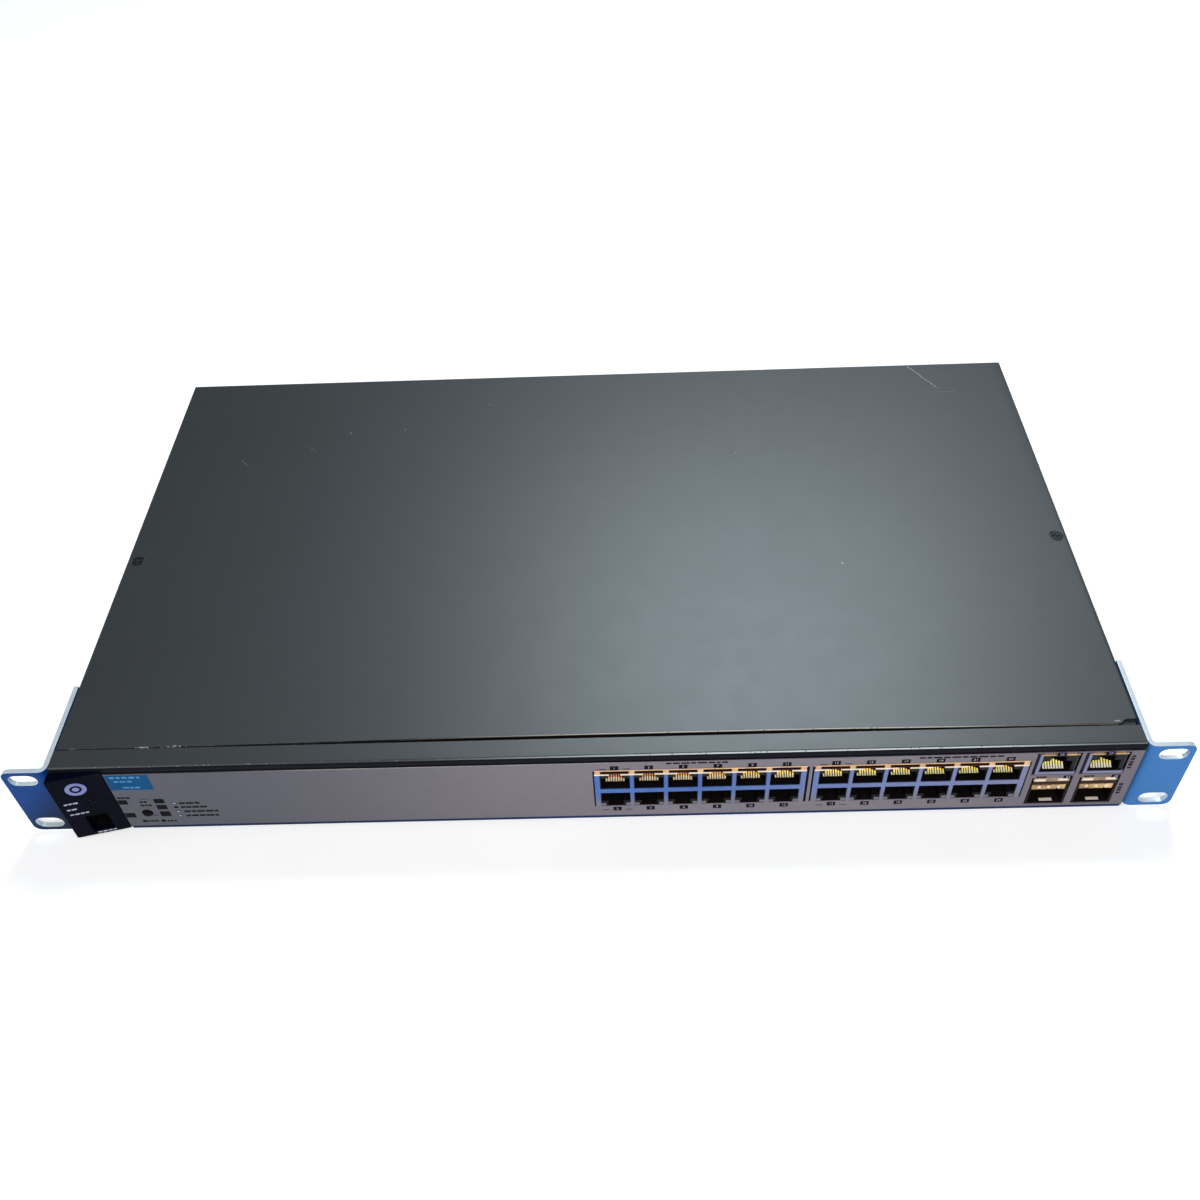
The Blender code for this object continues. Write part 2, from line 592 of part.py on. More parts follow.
def build_top_cover():
    """A sheet folded down both sides, screwed to the base from above."""
    bm = bmesh.new()
    start = TOP_STRIP_DEPTH + SEAM_GAP
    add_box(
        bm,
        (-HALF_WIDTH, start, COVER_CLEARANCE_BELOW),
        (HALF_WIDTH, CHASSIS_DEPTH, CHASSIS_HEIGHT),
    )
    edges = []
    for edge in bm.edges:
        along = abs(edge.verts[0].co.y - edge.verts[1].co.y) > SHEET
        if along and all(abs(v.co.z - CHASSIS_HEIGHT) < 1e-6 for v in edge.verts):
            edges.append(edge)
    bmesh.ops.bevel(bm, geom=edges, offset=SHEET, segments=3, profile=0.5, affect="EDGES")
    cover = finish("top_cover", bm, "painted_steel", smooth=True)
    over = 20.0 * MM
    inner = HALF_WIDTH - SHEET
    depth = CHASSIS_DEPTH + over
    cut_boxes(cover, "top_cover_inside", [
        ((-inner, -over, -over), (inner, depth, CHASSIS_HEIGHT - SHEET)),
    ])
    cut_boxes(
        cover,
        "top_cover_vents",
        vent_boxes(-HALF_WIDTH - over, -inner + SHEET) + vent_boxes(inner - SHEET, inner + over),
    )
    holes = bmesh.new()
    for sign in (-1, 1):
        for y, z in ear_screw_places():
            add_rod(holes, (sign * HALF_WIDTH, y, z), HOLE_RADIUS, 6 * SHEET, "X", 12)
        sink = countersink_profile(COUNTERSINK_CLEARANCE)
        verts = add_turned(holes, sink, "Z", 20)
        x = sign * (HALF_WIDTH - COVER_SCREW_SIDE_MARGIN)
        seat = place(x, COVER_SCREW_DEPTH, CHASSIS_HEIGHT)
        bmesh.ops.translate(holes, verts=verts, vec=seat)
    shape_with(cover, tool("top_cover_holes", holes))
    return cover


def countersink_profile(extra):
    """From the tip of the shank up to the flat top of a countersunk head. The hole is
    the same shape grown by extra, and runs past both faces of the sheet."""
    over = 1.0 * MM if extra else 0.0
    head = SCREW_HEAD_RADIUS + extra
    depth = SHEET - 0.1 * MM
    profile = [
        (SCREW_RADIUS + extra, -SCREW_LENGTH),
        (SCREW_RADIUS + extra, -depth - extra),
        (head, -0.1 * MM - extra / 2),
    ]
    profile.append((head, over))
    return profile


def build_label():
    """The thin printed label over the front wall, right of the bezel."""
    left = BEZEL_INNER_X + GAP
    right = HALF_WIDTH - LABEL_SIDE_MARGIN
    label = box(
        "front_label", (left, 0, LABEL_BOTTOM), (right, LABEL_SHEET, LABEL_TOP), "label_film"
    )
    over = 5.0 * MM
    trim = 0.15 * MM
    boxes = []
    left_bank, right_bank = front_cutouts(trim)[0], front_cutouts(trim)[1]
    # Both banks share one hole in the label, with the metal web showing between them
    boxes.append(
        ((left_bank[0], -over, left_bank[2]), (right_bank[1], over, left_bank[3]))
    )
    for left, right, low, high in front_cutouts(trim)[2:]:
        boxes.append(((left, -over, low), (right, over, high)))
    cut_boxes(label, "front_label_cutouts", boxes)
    holes = bmesh.new()
    for x, z, radius in button_holes():
        add_rod(holes, (x, 0, z), radius + trim, 2 * over, "Y", 16)
    shape_with(label, tool("front_label_holes", holes))
    return label


def build_bezel():
    """The gloss bezel at the left, a wedge that stands further out towards its left."""
    back = PANEL_FRONT - GAP
    bm = bmesh.new()
    outline = [
        (-HALF_WIDTH, back),
        (-HALF_WIDTH, -BEZEL_PROJECTION),
        (BEZEL_INNER_X, 0.0),
        (BEZEL_INNER_X, back),
    ]
    add_prism(bm, outline, BEZEL_BOTTOM, BEZEL_TOP, "Z")
    bezel = finish("status_bezel", bm, "bezel_plastic")
    over = 20.0 * MM
    left, right = console_span()
    top = CONSOLE_OPENING_BOTTOM + CONSOLE_OPENING_HEIGHT
    cut_boxes(bezel, "status_bezel_console_hole", [
        ((left, -over, CONSOLE_OPENING_BOTTOM), (right, over, top)),
    ])
    holes = bmesh.new()
    for z in LIGHT_PIPE_HEIGHTS:
        radius = LIGHT_PIPE_RADIUS + LIGHT_PIPE_CLEARANCE
        x = -HALF_WIDTH + LIGHT_PIPE_INSET
        add_rod(holes, (x, 0, z), radius, over, "Y", 10)
    shape_with(bezel, tool("status_bezel_light_holes", holes))
    return bezel


def build_light_pipes():
    """Three clear rods from the bezel face to the board behind, moulded on one bar."""
    x = -HALF_WIDTH + LIGHT_PIPE_INSET
    front = bezel_face_y(x)
    back = front + LIGHT_PIPE_LENGTH
    bm = bmesh.new()
    bar = 1.2 * MM
    low, high = min(LIGHT_PIPE_HEIGHTS) - bar, max(LIGHT_PIPE_HEIGHTS) + bar
    add_box(bm, (x - bar, back - bar, low), (x + bar, back, high))
    pipes = finish("status_light_pipes", bm, "clear_plastic")
    rods = bmesh.new()
    for z in LIGHT_PIPE_HEIGHTS:
        length = LIGHT_PIPE_LENGTH - bar / 2
        add_rod(rods, (x, front + length / 2, z), LIGHT_PIPE_RADIUS, length, "Y", 10)
    shape_with(pipes, tool("status_light_pipe_rods", rods), "UNION")
    return pipes


def build_ear(name, sign):
    """An angle bracket: a flange along the side wall, bent outwards at the front."""
    inner = HALF_WIDTH + GAP
    outer = HALF_WIDTH + EAR_PROJECTION
    outline = [(inner, EAR_FLANGE_DEPTH)]
    steps = 5
    for step in range(steps + 1):
        angle = math.radians(180 + 90 * step / steps)
        x = inner + EAR_BEND_RADIUS + EAR_BEND_RADIUS * math.cos(angle)
        outline.append((x, EAR_BEND_RADIUS + EAR_BEND_RADIUS * math.sin(angle)))
    outline.append((outer, 0.0))
    outline.append((outer, EAR_SHEET))
    inside = EAR_BEND_RADIUS - EAR_SHEET
    for step in range(steps + 1):
        angle = math.radians(270 - 90 * step / steps)
        x = inner + EAR_BEND_RADIUS + inside * math.cos(angle)
        outline.append((x, EAR_BEND_RADIUS + inside * math.sin(angle)))
    outline.append((inner + EAR_SHEET, EAR_FLANGE_DEPTH))
    bm = bmesh.new()
    top = EAR_BOTTOM + EAR_HEIGHT
    add_prism(bm, [(sign * x, y) for x, y in outline], EAR_BOTTOM, top, "Z")
    corners = []
    for edge in bm.edges:
        along = abs(edge.verts[0].co.y - edge.verts[1].co.y) > EAR_SHEET / 2
        middle = (edge.verts[0].co + edge.verts[1].co) / 2
        if along and abs(abs(middle.x) - outer) < 1e-6:
            corners.append(edge)
    bmesh.ops.bevel(
        bm, geom=corners, offset=EAR_CORNER_RADIUS, segments=4, profile=0.5, affect="EDGES"
    )
    ear = finish(name, bm, "ear_coating", smooth=True)
    slots = bmesh.new()
    middle = EAR_BOTTOM + EAR_HEIGHT / 2
    for z in span(middle, EAR_SLOT_SPACING):
        points = obround(sign * EAR_SLOT_CENTRE, z, EAR_SLOT_LENGTH, EAR_SLOT_HEIGHT)
        add_prism(slots, points, -EAR_SHEET, 2 * EAR_SHEET, "Y")
    shape_with(ear, tool(name + "_slots", slots))
    holes = bmesh.new()
    for y, z in ear_screw_places():
        add_rod(holes, (sign * (inner + EAR_SHEET / 2), y, z), HOLE_RADIUS, 6 * MM, "X", 12)
    shape_with(ear, tool(name + "_holes", holes))
    return ear


# ---- Screws

def build_pan_screw(name, location, direction, axis, head_height=SCREW_HEAD_HEIGHT):
    """A screw whose head stands on the surface at location and whose shank goes in.
    direction is +1 or -1, the way out of the surface along the axis."""
    profile = [
        (SCREW_RADIUS, -SCREW_LENGTH),
        (SCREW_RADIUS, GAP),
        (SCREW_HEAD_RADIUS, GAP),
        (SCREW_HEAD_RADIUS, GAP + head_height * 0.55),
        (SCREW_HEAD_RADIUS * 0.62, GAP + head_height),
    ]
    bm = bmesh.new()
    turned = [(radius, direction * along) for radius, along in profile]
    add_turned(bm, turned, axis, 12)
    return finish(name, bm, "bright_steel", location=location, smooth=True)


def build_screws():
    for side, sign in (("left", -1), ("right", 1)):
        surface = sign * (HALF_WIDTH + GAP + EAR_SHEET)
        for index, (y, z) in enumerate(ear_screw_places()):
            name = "ear_screw_{}_{}".format(side, index + 1)
            build_pan_screw(name, place(surface, y, z), sign, "X")
        bm = bmesh.new()
        add_turned(bm, countersink_profile(0.0), "Z", 20)
        x = sign * (HALF_WIDTH - COVER_SCREW_SIDE_MARGIN)
        seat = place(x, COVER_SCREW_DEPTH, CHASSIS_HEIGHT)
        finish("cover_screw_" + side, bm, "painted_steel", location=seat, smooth=True)
    ground = place(GROUND_SCREW_X, CHASSIS_DEPTH, GROUND_SCREW_Z)
    build_pan_screw("ground_screw", ground, 1, "Y", head_height=SCREW_HEAD_HEIGHT - GAP)


# ---- Jacks

def jack_outline(centre, bottom, top, latch_up):
    """The stepped mouth of a modular jack, in X and Z, with its latch notch up or down.
    The notch side touches the row's edge, and the plug side is next to it."""
    half, notch = JACK_CAVITY_WIDTH / 2, JACK_LATCH_WIDTH / 2
    height = JACK_CAVITY_HEIGHT + JACK_LATCH_HEIGHT
    slack = (top - bottom - height) / 2
    points = [
        (-half, 0.0),
        (half, 0.0),
        (half, JACK_CAVITY_HEIGHT),
        (notch, JACK_CAVITY_HEIGHT),
        (notch, height),
        (-notch, height),
        (-notch, JACK_CAVITY_HEIGHT),
        (-half, JACK_CAVITY_HEIGHT),
    ]
    if latch_up:
        return [(centre + x, bottom + slack + z) for x, z in points]
    return [(centre + x, top - slack - z) for x, z in points]


def build_bank(index, side):
    """Shield, housing and contacts of one block of twelve jacks."""
    left, right = bank_span(index)
    low, high = BANK_BOTTOM, BANK_BOTTOM + BANK_HEIGHT
    rows = port_rows()
    sheet = SHIELD_SHEET
    shield = box(
        "port_shield_" + side, (left, 0, low), (right, BANK_DEPTH, high), "shield_nickel"
    )
    inside = [
        ((left + sheet, sheet, low + sheet), (right - sheet, BANK_DEPTH * 2, high - sheet)),
    ]
    cut_boxes(shield, "port_shield_inside_" + side, inside)
    mouths = []
    for column in range(PORT_COLUMNS):
        port_left, port_right = span(port_centre(index, column), PORT_OPENING)
        for bottom, top in rows.values():
            mouths.append(((port_left, -BANK_DEPTH, bottom), (port_right, 2 * sheet, top)))
    cut_boxes(shield, "port_shield_mouths_" + side, mouths)

    wall = sheet + GAP
    carrier_front = BANK_DEPTH - CONTACT_CARRIER - GAP
    housing = box(
        "port_housing_" + side,
        (left + wall, wall, low + wall),
        (right - wall, carrier_front - GAP, high - wall),
        "jack_plastic",
    )
    cavities = bmesh.new()
    for column in range(PORT_COLUMNS):
        centre = port_centre(index, column)
        for row, (bottom, top) in rows.items():
            outline = jack_outline(centre, bottom, top, row == "upper")
            add_prism(cavities, outline, -BANK_DEPTH, BANK_DEPTH * 2, "Y")
    shape_with(housing, tool("port_cavities_" + side, cavities))

    insert = box(
        "port_contacts_" + side,
        (left + wall, carrier_front, low + wall),
        (right - wall, carrier_front + CONTACT_CARRIER, high - wall),
        "contact_gold",
    )
    rows_of_contacts = bmesh.new()
    for column in range(PORT_COLUMNS):
        x_low, x_high = span(port_centre(index, column), CONTACT_ROW_WIDTH)
        for row, (bottom, top) in rows.items():
            outline = jack_outline(0.0, bottom, top, row == "upper")
            plug_side = outline[0][1]
            inward = 1 if row == "upper" else -1
            near = plug_side + inward * (GAP + 0.3 * MM)
            far = near + inward * CONTACT_THICKNESS
            corner_low = (x_low, carrier_front - CONTACT_REACH, min(near, far))
            corner_high = (x_high, carrier_front + CONTACT_CARRIER / 2, max(near, far))
            add_box(rows_of_contacts, corner_low, corner_high)
    shape_with(insert, tool("port_contact_rows_" + side, rows_of_contacts), "UNION")

    strip_low = high + GAP
    strip = [
        ((left, 0.0, strip_low), (right, FINGER_STRIP_SHEET, strip_low + FINGER_STRIP_HEIGHT)),
    ]
    bm = bmesh.new()
    add_box(bm, *strip[0])
    fingers = finish("finger_strip_" + side, bm, "finger_copper")
    tabs = bmesh.new()
    count = 2 * PORT_COLUMNS
    pitch = BANK_WIDTH / count
    for number in range(count):
        start = left + number * pitch + 0.12 * pitch
        top = strip_low + FINGER_STRIP_SHEET
        corner = (start + 0.76 * pitch, FINGER_STRIP_DEPTH, top)
        add_box(tabs, (start, FINGER_STRIP_SHEET / 2, strip_low), corner)
    shape_with(fingers, tool("finger_tabs_" + side, tabs), "UNION")


def build_uplink(number):
    """One shielded jack, its housing and its finger strip, over one module cage."""
    centre = UPLINK_CENTRES[number]
    left, right = span(centre, UPLINK_WIDTH)
    tag = str(number + 1)
    shield = box(
        "uplink_shield_" + tag,
        (left, 0, UPLINK_BOTTOM),
        (right, UPLINK_DEPTH, UPLINK_TOP),
        "shield_nickel",
    )
    sheet = SHIELD_SHEET
    cut_boxes(shield, "uplink_shield_inside_" + tag, [
        (
            (left + sheet, sheet, UPLINK_BOTTOM + sheet),
            (right - sheet, 2 * UPLINK_DEPTH, UPLINK_TOP - sheet),
        ),
    ])
    mouth_left, mouth_right = span(centre, UPLINK_OPENING_WIDTH)
    bottom = UPLINK_OPENING_BOTTOM
    top = bottom + UPLINK_OPENING_HEIGHT
    cut_boxes(shield, "uplink_shield_mouth_" + tag, [
        ((mouth_left, -UPLINK_DEPTH, bottom), (mouth_right, 2 * sheet, top)),
    ])
    wall = sheet + GAP
    housing = box(
        "uplink_housing_" + tag,
        (left + wall, wall, UPLINK_BOTTOM + wall),
        (right - wall, UPLINK_DEPTH, UPLINK_TOP - wall),
        "jack_plastic",
    )
    cavity = bmesh.new()
    outline = jack_outline(centre, bottom, top, True)
    add_prism(cavity, outline, -UPLINK_DEPTH, UPLINK_DEPTH - 3.0 * MM, "Y")
    shape_with(housing, tool("uplink_cavity_" + tag, cavity))
    strip_low = UPLINK_TOP + GAP
    box(
        "uplink_finger_strip_" + tag,
        (left, 0.0, strip_low),
        (right, FINGER_STRIP_DEPTH, strip_low + FINGER_STRIP_SHEET * 3),
        "finger_copper",
    )


def build_cage(number):
    """A sheet-metal sleeve for a pluggable module, with the connector at its back."""
    centre = CAGE_CENTRES[number]
    tag = str(number + 1)
    left, right = span(centre, CAGE_OPENING_WIDTH)
    bottom, top = CAGE_OPENING_BOTTOM, CAGE_OPENING_BOTTOM + CAGE_OPENING_HEIGHT
    wall = CAGE_WALL
    cage = box(
        "module_cage_" + tag,
        (left - wall, 0, bottom - wall),
        (right + wall, CAGE_DEPTH, top + wall),
        "shield_nickel",
    )
    cut_boxes(cage, "module_cage_inside_" + tag, [
        ((left, -CAGE_DEPTH, bottom), (right, CAGE_DEPTH - wall, top)),
    ])
    back = CAGE_DEPTH - wall - GAP
    connector_high = 9.0 * MM
    connector = box(
        "module_connector_" + tag,
        (left + GAP, back - CAGE_CONNECTOR_DEPTH, bottom + GAP),
        (right - GAP, back, bottom + connector_high),
        "jack_plastic",
    )
    mouth = 1.6 * MM
    middle = bottom + connector_high / 2
    side = 1.8 * MM
    slot_back = back - 2.0 * MM
    cut_boxes(connector, "module_connector_slot_" + tag, [
        ((left + side, 0, middle - mouth / 2), (right - side, slot_back, middle + mouth / 2)),
    ])
    strip_low = CAGE_TOP + GAP
    box(
        "cage_finger_strip_" + tag,
        (left, 0.0, strip_low),
        (right, CAGE_STRIP_DEPTH, strip_low + CAGE_STRIP_HEIGHT),
        "finger_copper",
    )


def build_console_jack():
    """A jack turned on its side, reached through the bezel."""
    left, right = console_span()
    low, high = CONSOLE_OPENING_BOTTOM, CONSOLE_OPENING_BOTTOM + CONSOLE_OPENING_HEIGHT
    wall = CONSOLE_WALL
    front = LABEL_SHEET + GAP
    jack = box(
        "console_jack",
        (left - wall, front, low - wall),
        (right + wall, front + CONSOLE_DEPTH, high + wall),
        "jack_plastic",
    )
    cut_boxes(jack, "console_jack_cavity", [
        ((left, -CONSOLE_DEPTH, low), (right, front + CONSOLE_DEPTH - 2 * wall, high)),
    ])


# ---- Buttons

def build_button(name, x, z, radius, front):
    """A round push button with a collar that keeps it behind the front wall. Its origin
    is on its own axis, at its front face."""
    room = PANEL_BACK + GAP - front
    collar = radius + BUTTON_CLEARANCE + BUTTON_COLLAR
    profile = [
        (radius * 0.86, 0.0),
        (radius, radius * 0.12),
        (radius, room),
        (collar, room),
        (collar, room + BUTTON_COLLAR_LENGTH),
        (radius * 0.7, room + BUTTON_COLLAR_LENGTH),
        (radius * 0.7, button_back() - front),
    ]
    bm = bmesh.new()
    add_turned(bm, profile, "Y", 20)
    finish(name, bm, "jack_plastic", location=place(x, front, z), smooth=True)


def button_back():
    return PANEL_BACK + BUTTON_LENGTH - BUTTON_TRAVEL_ROOM


def build_buttons():
    build_button("mode_button", MODE_BUTTON_X, MODE_BUTTON_Z, MODE_BUTTON_RADIUS, -MODE_BUTTON_PROUD)
    for name, x in zip(("reset_button", "clear_button"), PIN_BUTTON_XS):
        build_button(name, x, PIN_BUTTON_Z, PIN_BUTTON_RADIUS, PIN_BUTTON_RECESS)
    # The small board whose switches the buttons press
    left, right = span(MODE_BUTTON_X, BUTTON_BOARD_WIDTH)
    front = PANEL_BACK + BUTTON_LENGTH
    low = SHEET + GAP
    box(
        "button_board",
        (left, front, low),
        (right, front + BOARD_SHEET, low + BUTTON_BOARD_HEIGHT),
        "board_green",
    )


# ---- Boards

def build_boards():
    box(
        "main_board",
        (MAIN_BOARD_LEFT, MAIN_BOARD_FRONT, BOARD_BOTTOM),
        (MAIN_BOARD_RIGHT, MAIN_BOARD_BACK, BOARD_TOP),
        "board_green",
    )
    front, back = POWER_BOARD_FRONT, POWER_BOARD_BACK
    power_right = POWER_BOARD_LEFT + POWER_BOARD_WIDTH
    box(
        "power_board",
        (POWER_BOARD_LEFT, front, BOARD_BOTTOM),
        (power_right, back, BOARD_TOP),
        "board_green",
    )
    insulator = box(
        "insulator_sheet",
        (POWER_BOARD_LEFT - 3 * MM, front - 3 * MM, SHEET + GAP),
        (power_right + 3 * MM, back + 3 * MM, SHEET + GAP + INSULATOR_SHEET),
        "insulating_film",
    )
    holes = bmesh.new()
    for x, y in standoff_places():
        if y > MAIN_BOARD_BACK:
            add_rod(holes, (x, y, SHEET), STANDOFF_RADIUS + 0.5 * MM, 4 * MM, "Z", 12)
    shape_with(insulator, tool("insulator_holes", holes))
    left = UPLINK_CENTRES[0] - UPLINK_WIDTH / 2 - UPLINK_BOARD_MARGIN
    right = UPLINK_CENTRES[1] + UPLINK_WIDTH / 2 + UPLINK_BOARD_MARGIN
    card_low = UPLINK_BOTTOM - GAP - BOARD_SHEET
    box(
        "uplink_board",
        (left, PANEL_BACK + 2 * MM, card_low),
        (right, PANEL_BACK + 2 * MM + UPLINK_BOARD_DEPTH, card_low + BOARD_SHEET),
        "board_green",
    )


def build_heatsink():
    """A finned block over the switching chip."""
    wide, deep, high = HEATSINK_SIZE
    left = BANK_CENTRES[0] - wide / 2
    front = MAIN_BOARD_FRONT + BANK_DEPTH + MAGNETICS_DEPTH + 18.0 * MM
    base = BOARD_TOP + GAP
    pitch = (wide - HEATSINK_FIN_SHEET) / (HEATSINK_FINS - 1)
    outline = [(left, base), (left + wide, base)]
    for fin in reversed(range(HEATSINK_FINS)):
        x = left + fin * pitch
        if fin < HEATSINK_FINS - 1:
            outline.append((x + HEATSINK_FIN_SHEET, base + HEATSINK_BASE))
        outline.append((x + HEATSINK_FIN_SHEET, base + high))
        outline.append((x, base + high))
        if fin:
            outline.append((x, base + HEATSINK_BASE))
    bm = bmesh.new()
    add_prism(bm, outline, front, front + deep, "Y")
    finish("chip_heatsink", bm, "black_aluminium")


def build_components():
    base = BOARD_TOP + GAP
    for index, side in enumerate(("left", "right")):
        left, right = bank_span(index)
        front = MAIN_BOARD_FRONT + BANK_DEPTH
        box(
            "port_magnetics_" + side,
            (left, front, base),
            (right, front + MAGNETICS_DEPTH, base + MAGNETICS_HEIGHT),
            "jack_plastic",
        )
    front, back = POWER_BOARD_FRONT, POWER_BOARD_BACK
    centre_x = POWER_BOARD_LEFT + POWER_BOARD_WIDTH * 0.62
    x_low, x_high = span(centre_x, TRANSFORMER_SIZE[0])
    y_low, y_high = span((front + back) / 2, TRANSFORMER_SIZE[1])
    box(
        "power_transformer",
        (x_low, y_low, base),
        (x_high, y_high, base + TRANSFORMER_SIZE[2]),
        "tape_yellow",
    )
    radius = CAPACITOR_RADIUS
    profile = [
        (radius * 0.9, 0.0),
        (radius, radius * 0.1),
        (radius, CAPACITOR_HEIGHT - radius * 0.1),
        (radius * 0.88, CAPACITOR_HEIGHT),
    ]
    bm = bmesh.new()
    add_turned(bm, profile, "Z", 20)
    seat = place(x_low - 2.0 * radius, (front + back) / 2, base)
    finish("bulk_capacitor", bm, "can_blue", location=seat, smooth=True)
    # Supply leads from the power board over to the main board
    curve = bpy.data.curves.new("supply_harness", "CURVE")
    curve.dimensions = "3D"
    curve.bevel_depth = HARNESS_RADIUS
    curve.bevel_resolution = 1
    curve.use_fill_caps = True
    start = Vector((POWER_BOARD_LEFT + POWER_BOARD_WIDTH - 12 * MM, front + 10 * MM, 0))
    end = Vector((start.x + 14 * MM, MAIN_BOARD_BACK - 12 * MM, 0))
    low = base + HARNESS_RADIUS
    rise = 9.0 * MM
    steps = 12
    line = curve.splines.new("POLY")
    line.points.add(steps)
    for step in range(steps + 1):
        t = step / steps
        at = start.lerp(end, t)
        ease = math.sin(math.pi * t)
        line.points[step].co = (*place(at.x, at.y, low + rise * ease), 1.0)
    harness = bpy.data.objects.new("supply_harness", curve)
    curve.materials.append(material("jack_plastic"))
    bpy.context.scene.collection.objects.link(harness)


# ---- Power inlet

def build_inlet():
    """A flanged inlet pushed in from behind, with three blades."""
    flange_low = CHASSIS_DEPTH + GAP
    flange_high = flange_low + INLET_FLANGE_SHEET
    x_low, x_high = span(INLET_X, INLET_FLANGE[0])
    z_low, z_high = span(INLET_Z, INLET_FLANGE[1])
    inlet = box("power_inlet", (x_low, flange_low, z_low), (x_high, flange_high, z_high), "jack_plastic")
    body = bmesh.new()
    bx_low, bx_high = span(INLET_X, INLET_BODY[0])
    bz_low, bz_high = span(INLET_Z, INLET_BODY[1])
    body_front = flange_high - INLET_DEPTH
    middle = flange_high - INLET_FLANGE_SHEET / 2
    add_box(body, (bx_low, body_front, bz_low), (bx_high, middle, bz_high))
    shape_with(inlet, tool("power_inlet_body", body), "UNION")
    cavity = bmesh.new()
    half_w, half_h = INLET_CAVITY[0] / 2, INLET_CAVITY[1] / 2
    cut = INLET_CHAMFER
    outline = [
        (-half_w, -half_h),
        (half_w, -half_h),
        (half_w, half_h - cut),
        (half_w - cut, half_h),
        (-half_w + cut, half_h),
        (-half_w, half_h - cut),
    ]
    points = [(INLET_X + x, INLET_Z + z) for x, z in outline]
    floor = flange_high - INLET_CAVITY_DEPTH
    add_prism(cavity, points, floor, flange_high + 5 * MM, "Y")
    shape_with(inlet, tool("power_inlet_cavity", cavity))
    slots = bmesh.new()
    for name, x, z in inlet_pins():
        wide, high = INLET_PIN[0] / 2 + GAP, INLET_PIN[1] / 2 + GAP
        add_box(slots, (x - wide, 0, z - high), (x + wide, floor + MM, z + high))
    shape_with(inlet, tool("power_inlet_slots", slots))
    for name, x, z in inlet_pins():
        wide, high = INLET_PIN[0] / 2, INLET_PIN[1] / 2
        tip = floor + INLET_PIN_LENGTH
        tail = body_front - INLET_PIN_TAIL
        box(name, (x - wide, tail, z - high), (x + wide, tip, z + high), "bright_steel")


def inlet_pins():
    low = INLET_Z - INLET_PIN_DROP
    return [
        ("inlet_pin_line", INLET_X - INLET_PIN_SPREAD, low),
        ("inlet_pin_neutral", INLET_X + INLET_PIN_SPREAD, low),
        ("inlet_pin_earth", INLET_X, INLET_Z + INLET_PIN_RISE),
    ]


def build():
    for old in list(bpy.data.objects):
        bpy.data.objects.remove(old, do_unlink=True)
    build_base_pan()
    build_front_panel()
    build_top_cover()
    build_label()
    build_bezel()
    build_light_pipes()
    build_ear("rack_ear_left", -1)
    build_ear("rack_ear_right", 1)
    build_screws()
    for index, side in enumerate(("left", "right")):
        build_bank(index, side)
    for number in range(UPLINK_COUNT):
        build_uplink(number)
        build_cage(number)
    build_console_jack()
    build_buttons()
    build_boards()
    build_heatsink()
    build_components()
    build_inlet()


build()
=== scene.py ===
import json
import math

import bpy
from mathutils import Matrix, Vector

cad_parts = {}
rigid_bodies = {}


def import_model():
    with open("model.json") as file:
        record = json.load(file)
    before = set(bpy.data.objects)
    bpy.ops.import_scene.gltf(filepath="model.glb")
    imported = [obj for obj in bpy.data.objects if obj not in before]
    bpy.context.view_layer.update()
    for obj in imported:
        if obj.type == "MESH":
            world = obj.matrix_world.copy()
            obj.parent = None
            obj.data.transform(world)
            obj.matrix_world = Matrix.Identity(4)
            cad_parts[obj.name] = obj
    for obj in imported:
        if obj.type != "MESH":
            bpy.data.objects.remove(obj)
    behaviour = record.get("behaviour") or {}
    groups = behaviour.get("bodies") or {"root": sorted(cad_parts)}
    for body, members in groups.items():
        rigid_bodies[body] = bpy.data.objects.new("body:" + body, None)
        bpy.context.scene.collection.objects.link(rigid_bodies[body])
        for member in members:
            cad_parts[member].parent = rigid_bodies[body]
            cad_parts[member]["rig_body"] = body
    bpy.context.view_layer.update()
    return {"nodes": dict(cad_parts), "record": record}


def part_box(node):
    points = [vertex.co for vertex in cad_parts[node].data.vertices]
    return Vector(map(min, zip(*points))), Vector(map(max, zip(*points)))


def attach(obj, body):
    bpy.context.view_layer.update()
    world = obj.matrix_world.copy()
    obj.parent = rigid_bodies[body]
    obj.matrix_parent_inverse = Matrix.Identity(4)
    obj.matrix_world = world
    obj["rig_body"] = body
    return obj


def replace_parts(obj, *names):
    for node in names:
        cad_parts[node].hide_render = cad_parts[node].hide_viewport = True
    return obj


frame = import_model()
print("frame loaded:", len(frame["nodes"]), "nodes")

mm = 0.001
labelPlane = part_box("front_label")[0].y  # world place of the label's face
slotOf = {part["node"]: part["material_slot"] for part in frame["record"]["subparts"]}


# handling pieces: places are millimetres from the label's face and the underside

def deselectAll():
    if bpy.context.mode != "OBJECT":
        bpy.ops.object.mode_set(mode="OBJECT")
    bpy.ops.object.select_all(action="DESELECT")


def pick(piece):
    deselectAll()
    piece.select_set(True)
    bpy.context.view_layer.objects.active = piece
    return piece


def spot(x, y, z):
    return Vector((x * mm, y * mm + labelPlane, z * mm))


def settle(name):
    # the place goes into the mesh, so the object stays at the origin
    piece = bpy.context.active_object
    piece.name = name
    piece.data.name = name
    bpy.ops.object.transform_apply(location=True, rotation=True, scale=True)
    return piece


def block(name, x, y, z):
    deselectAll()
    low, high = spot(x[0], y[0], z[0]), spot(x[1], y[1], z[1])
    bpy.ops.mesh.primitive_cube_add(size=1, location=(low + high) / 2, scale=high - low)
    return settle(name)


def rod(name, centre, radius, length, axis="Y", sides=24):
    deselectAll()
    turn = {"X": (0, math.pi / 2, 0), "Y": (math.pi / 2, 0, 0), "Z": (0, 0, 0)}[axis]
    bpy.ops.mesh.primitive_cylinder_add(
        vertices=sides, radius=radius * mm, depth=length * mm, location=spot(*centre), rotation=turn)
    return settle(name)


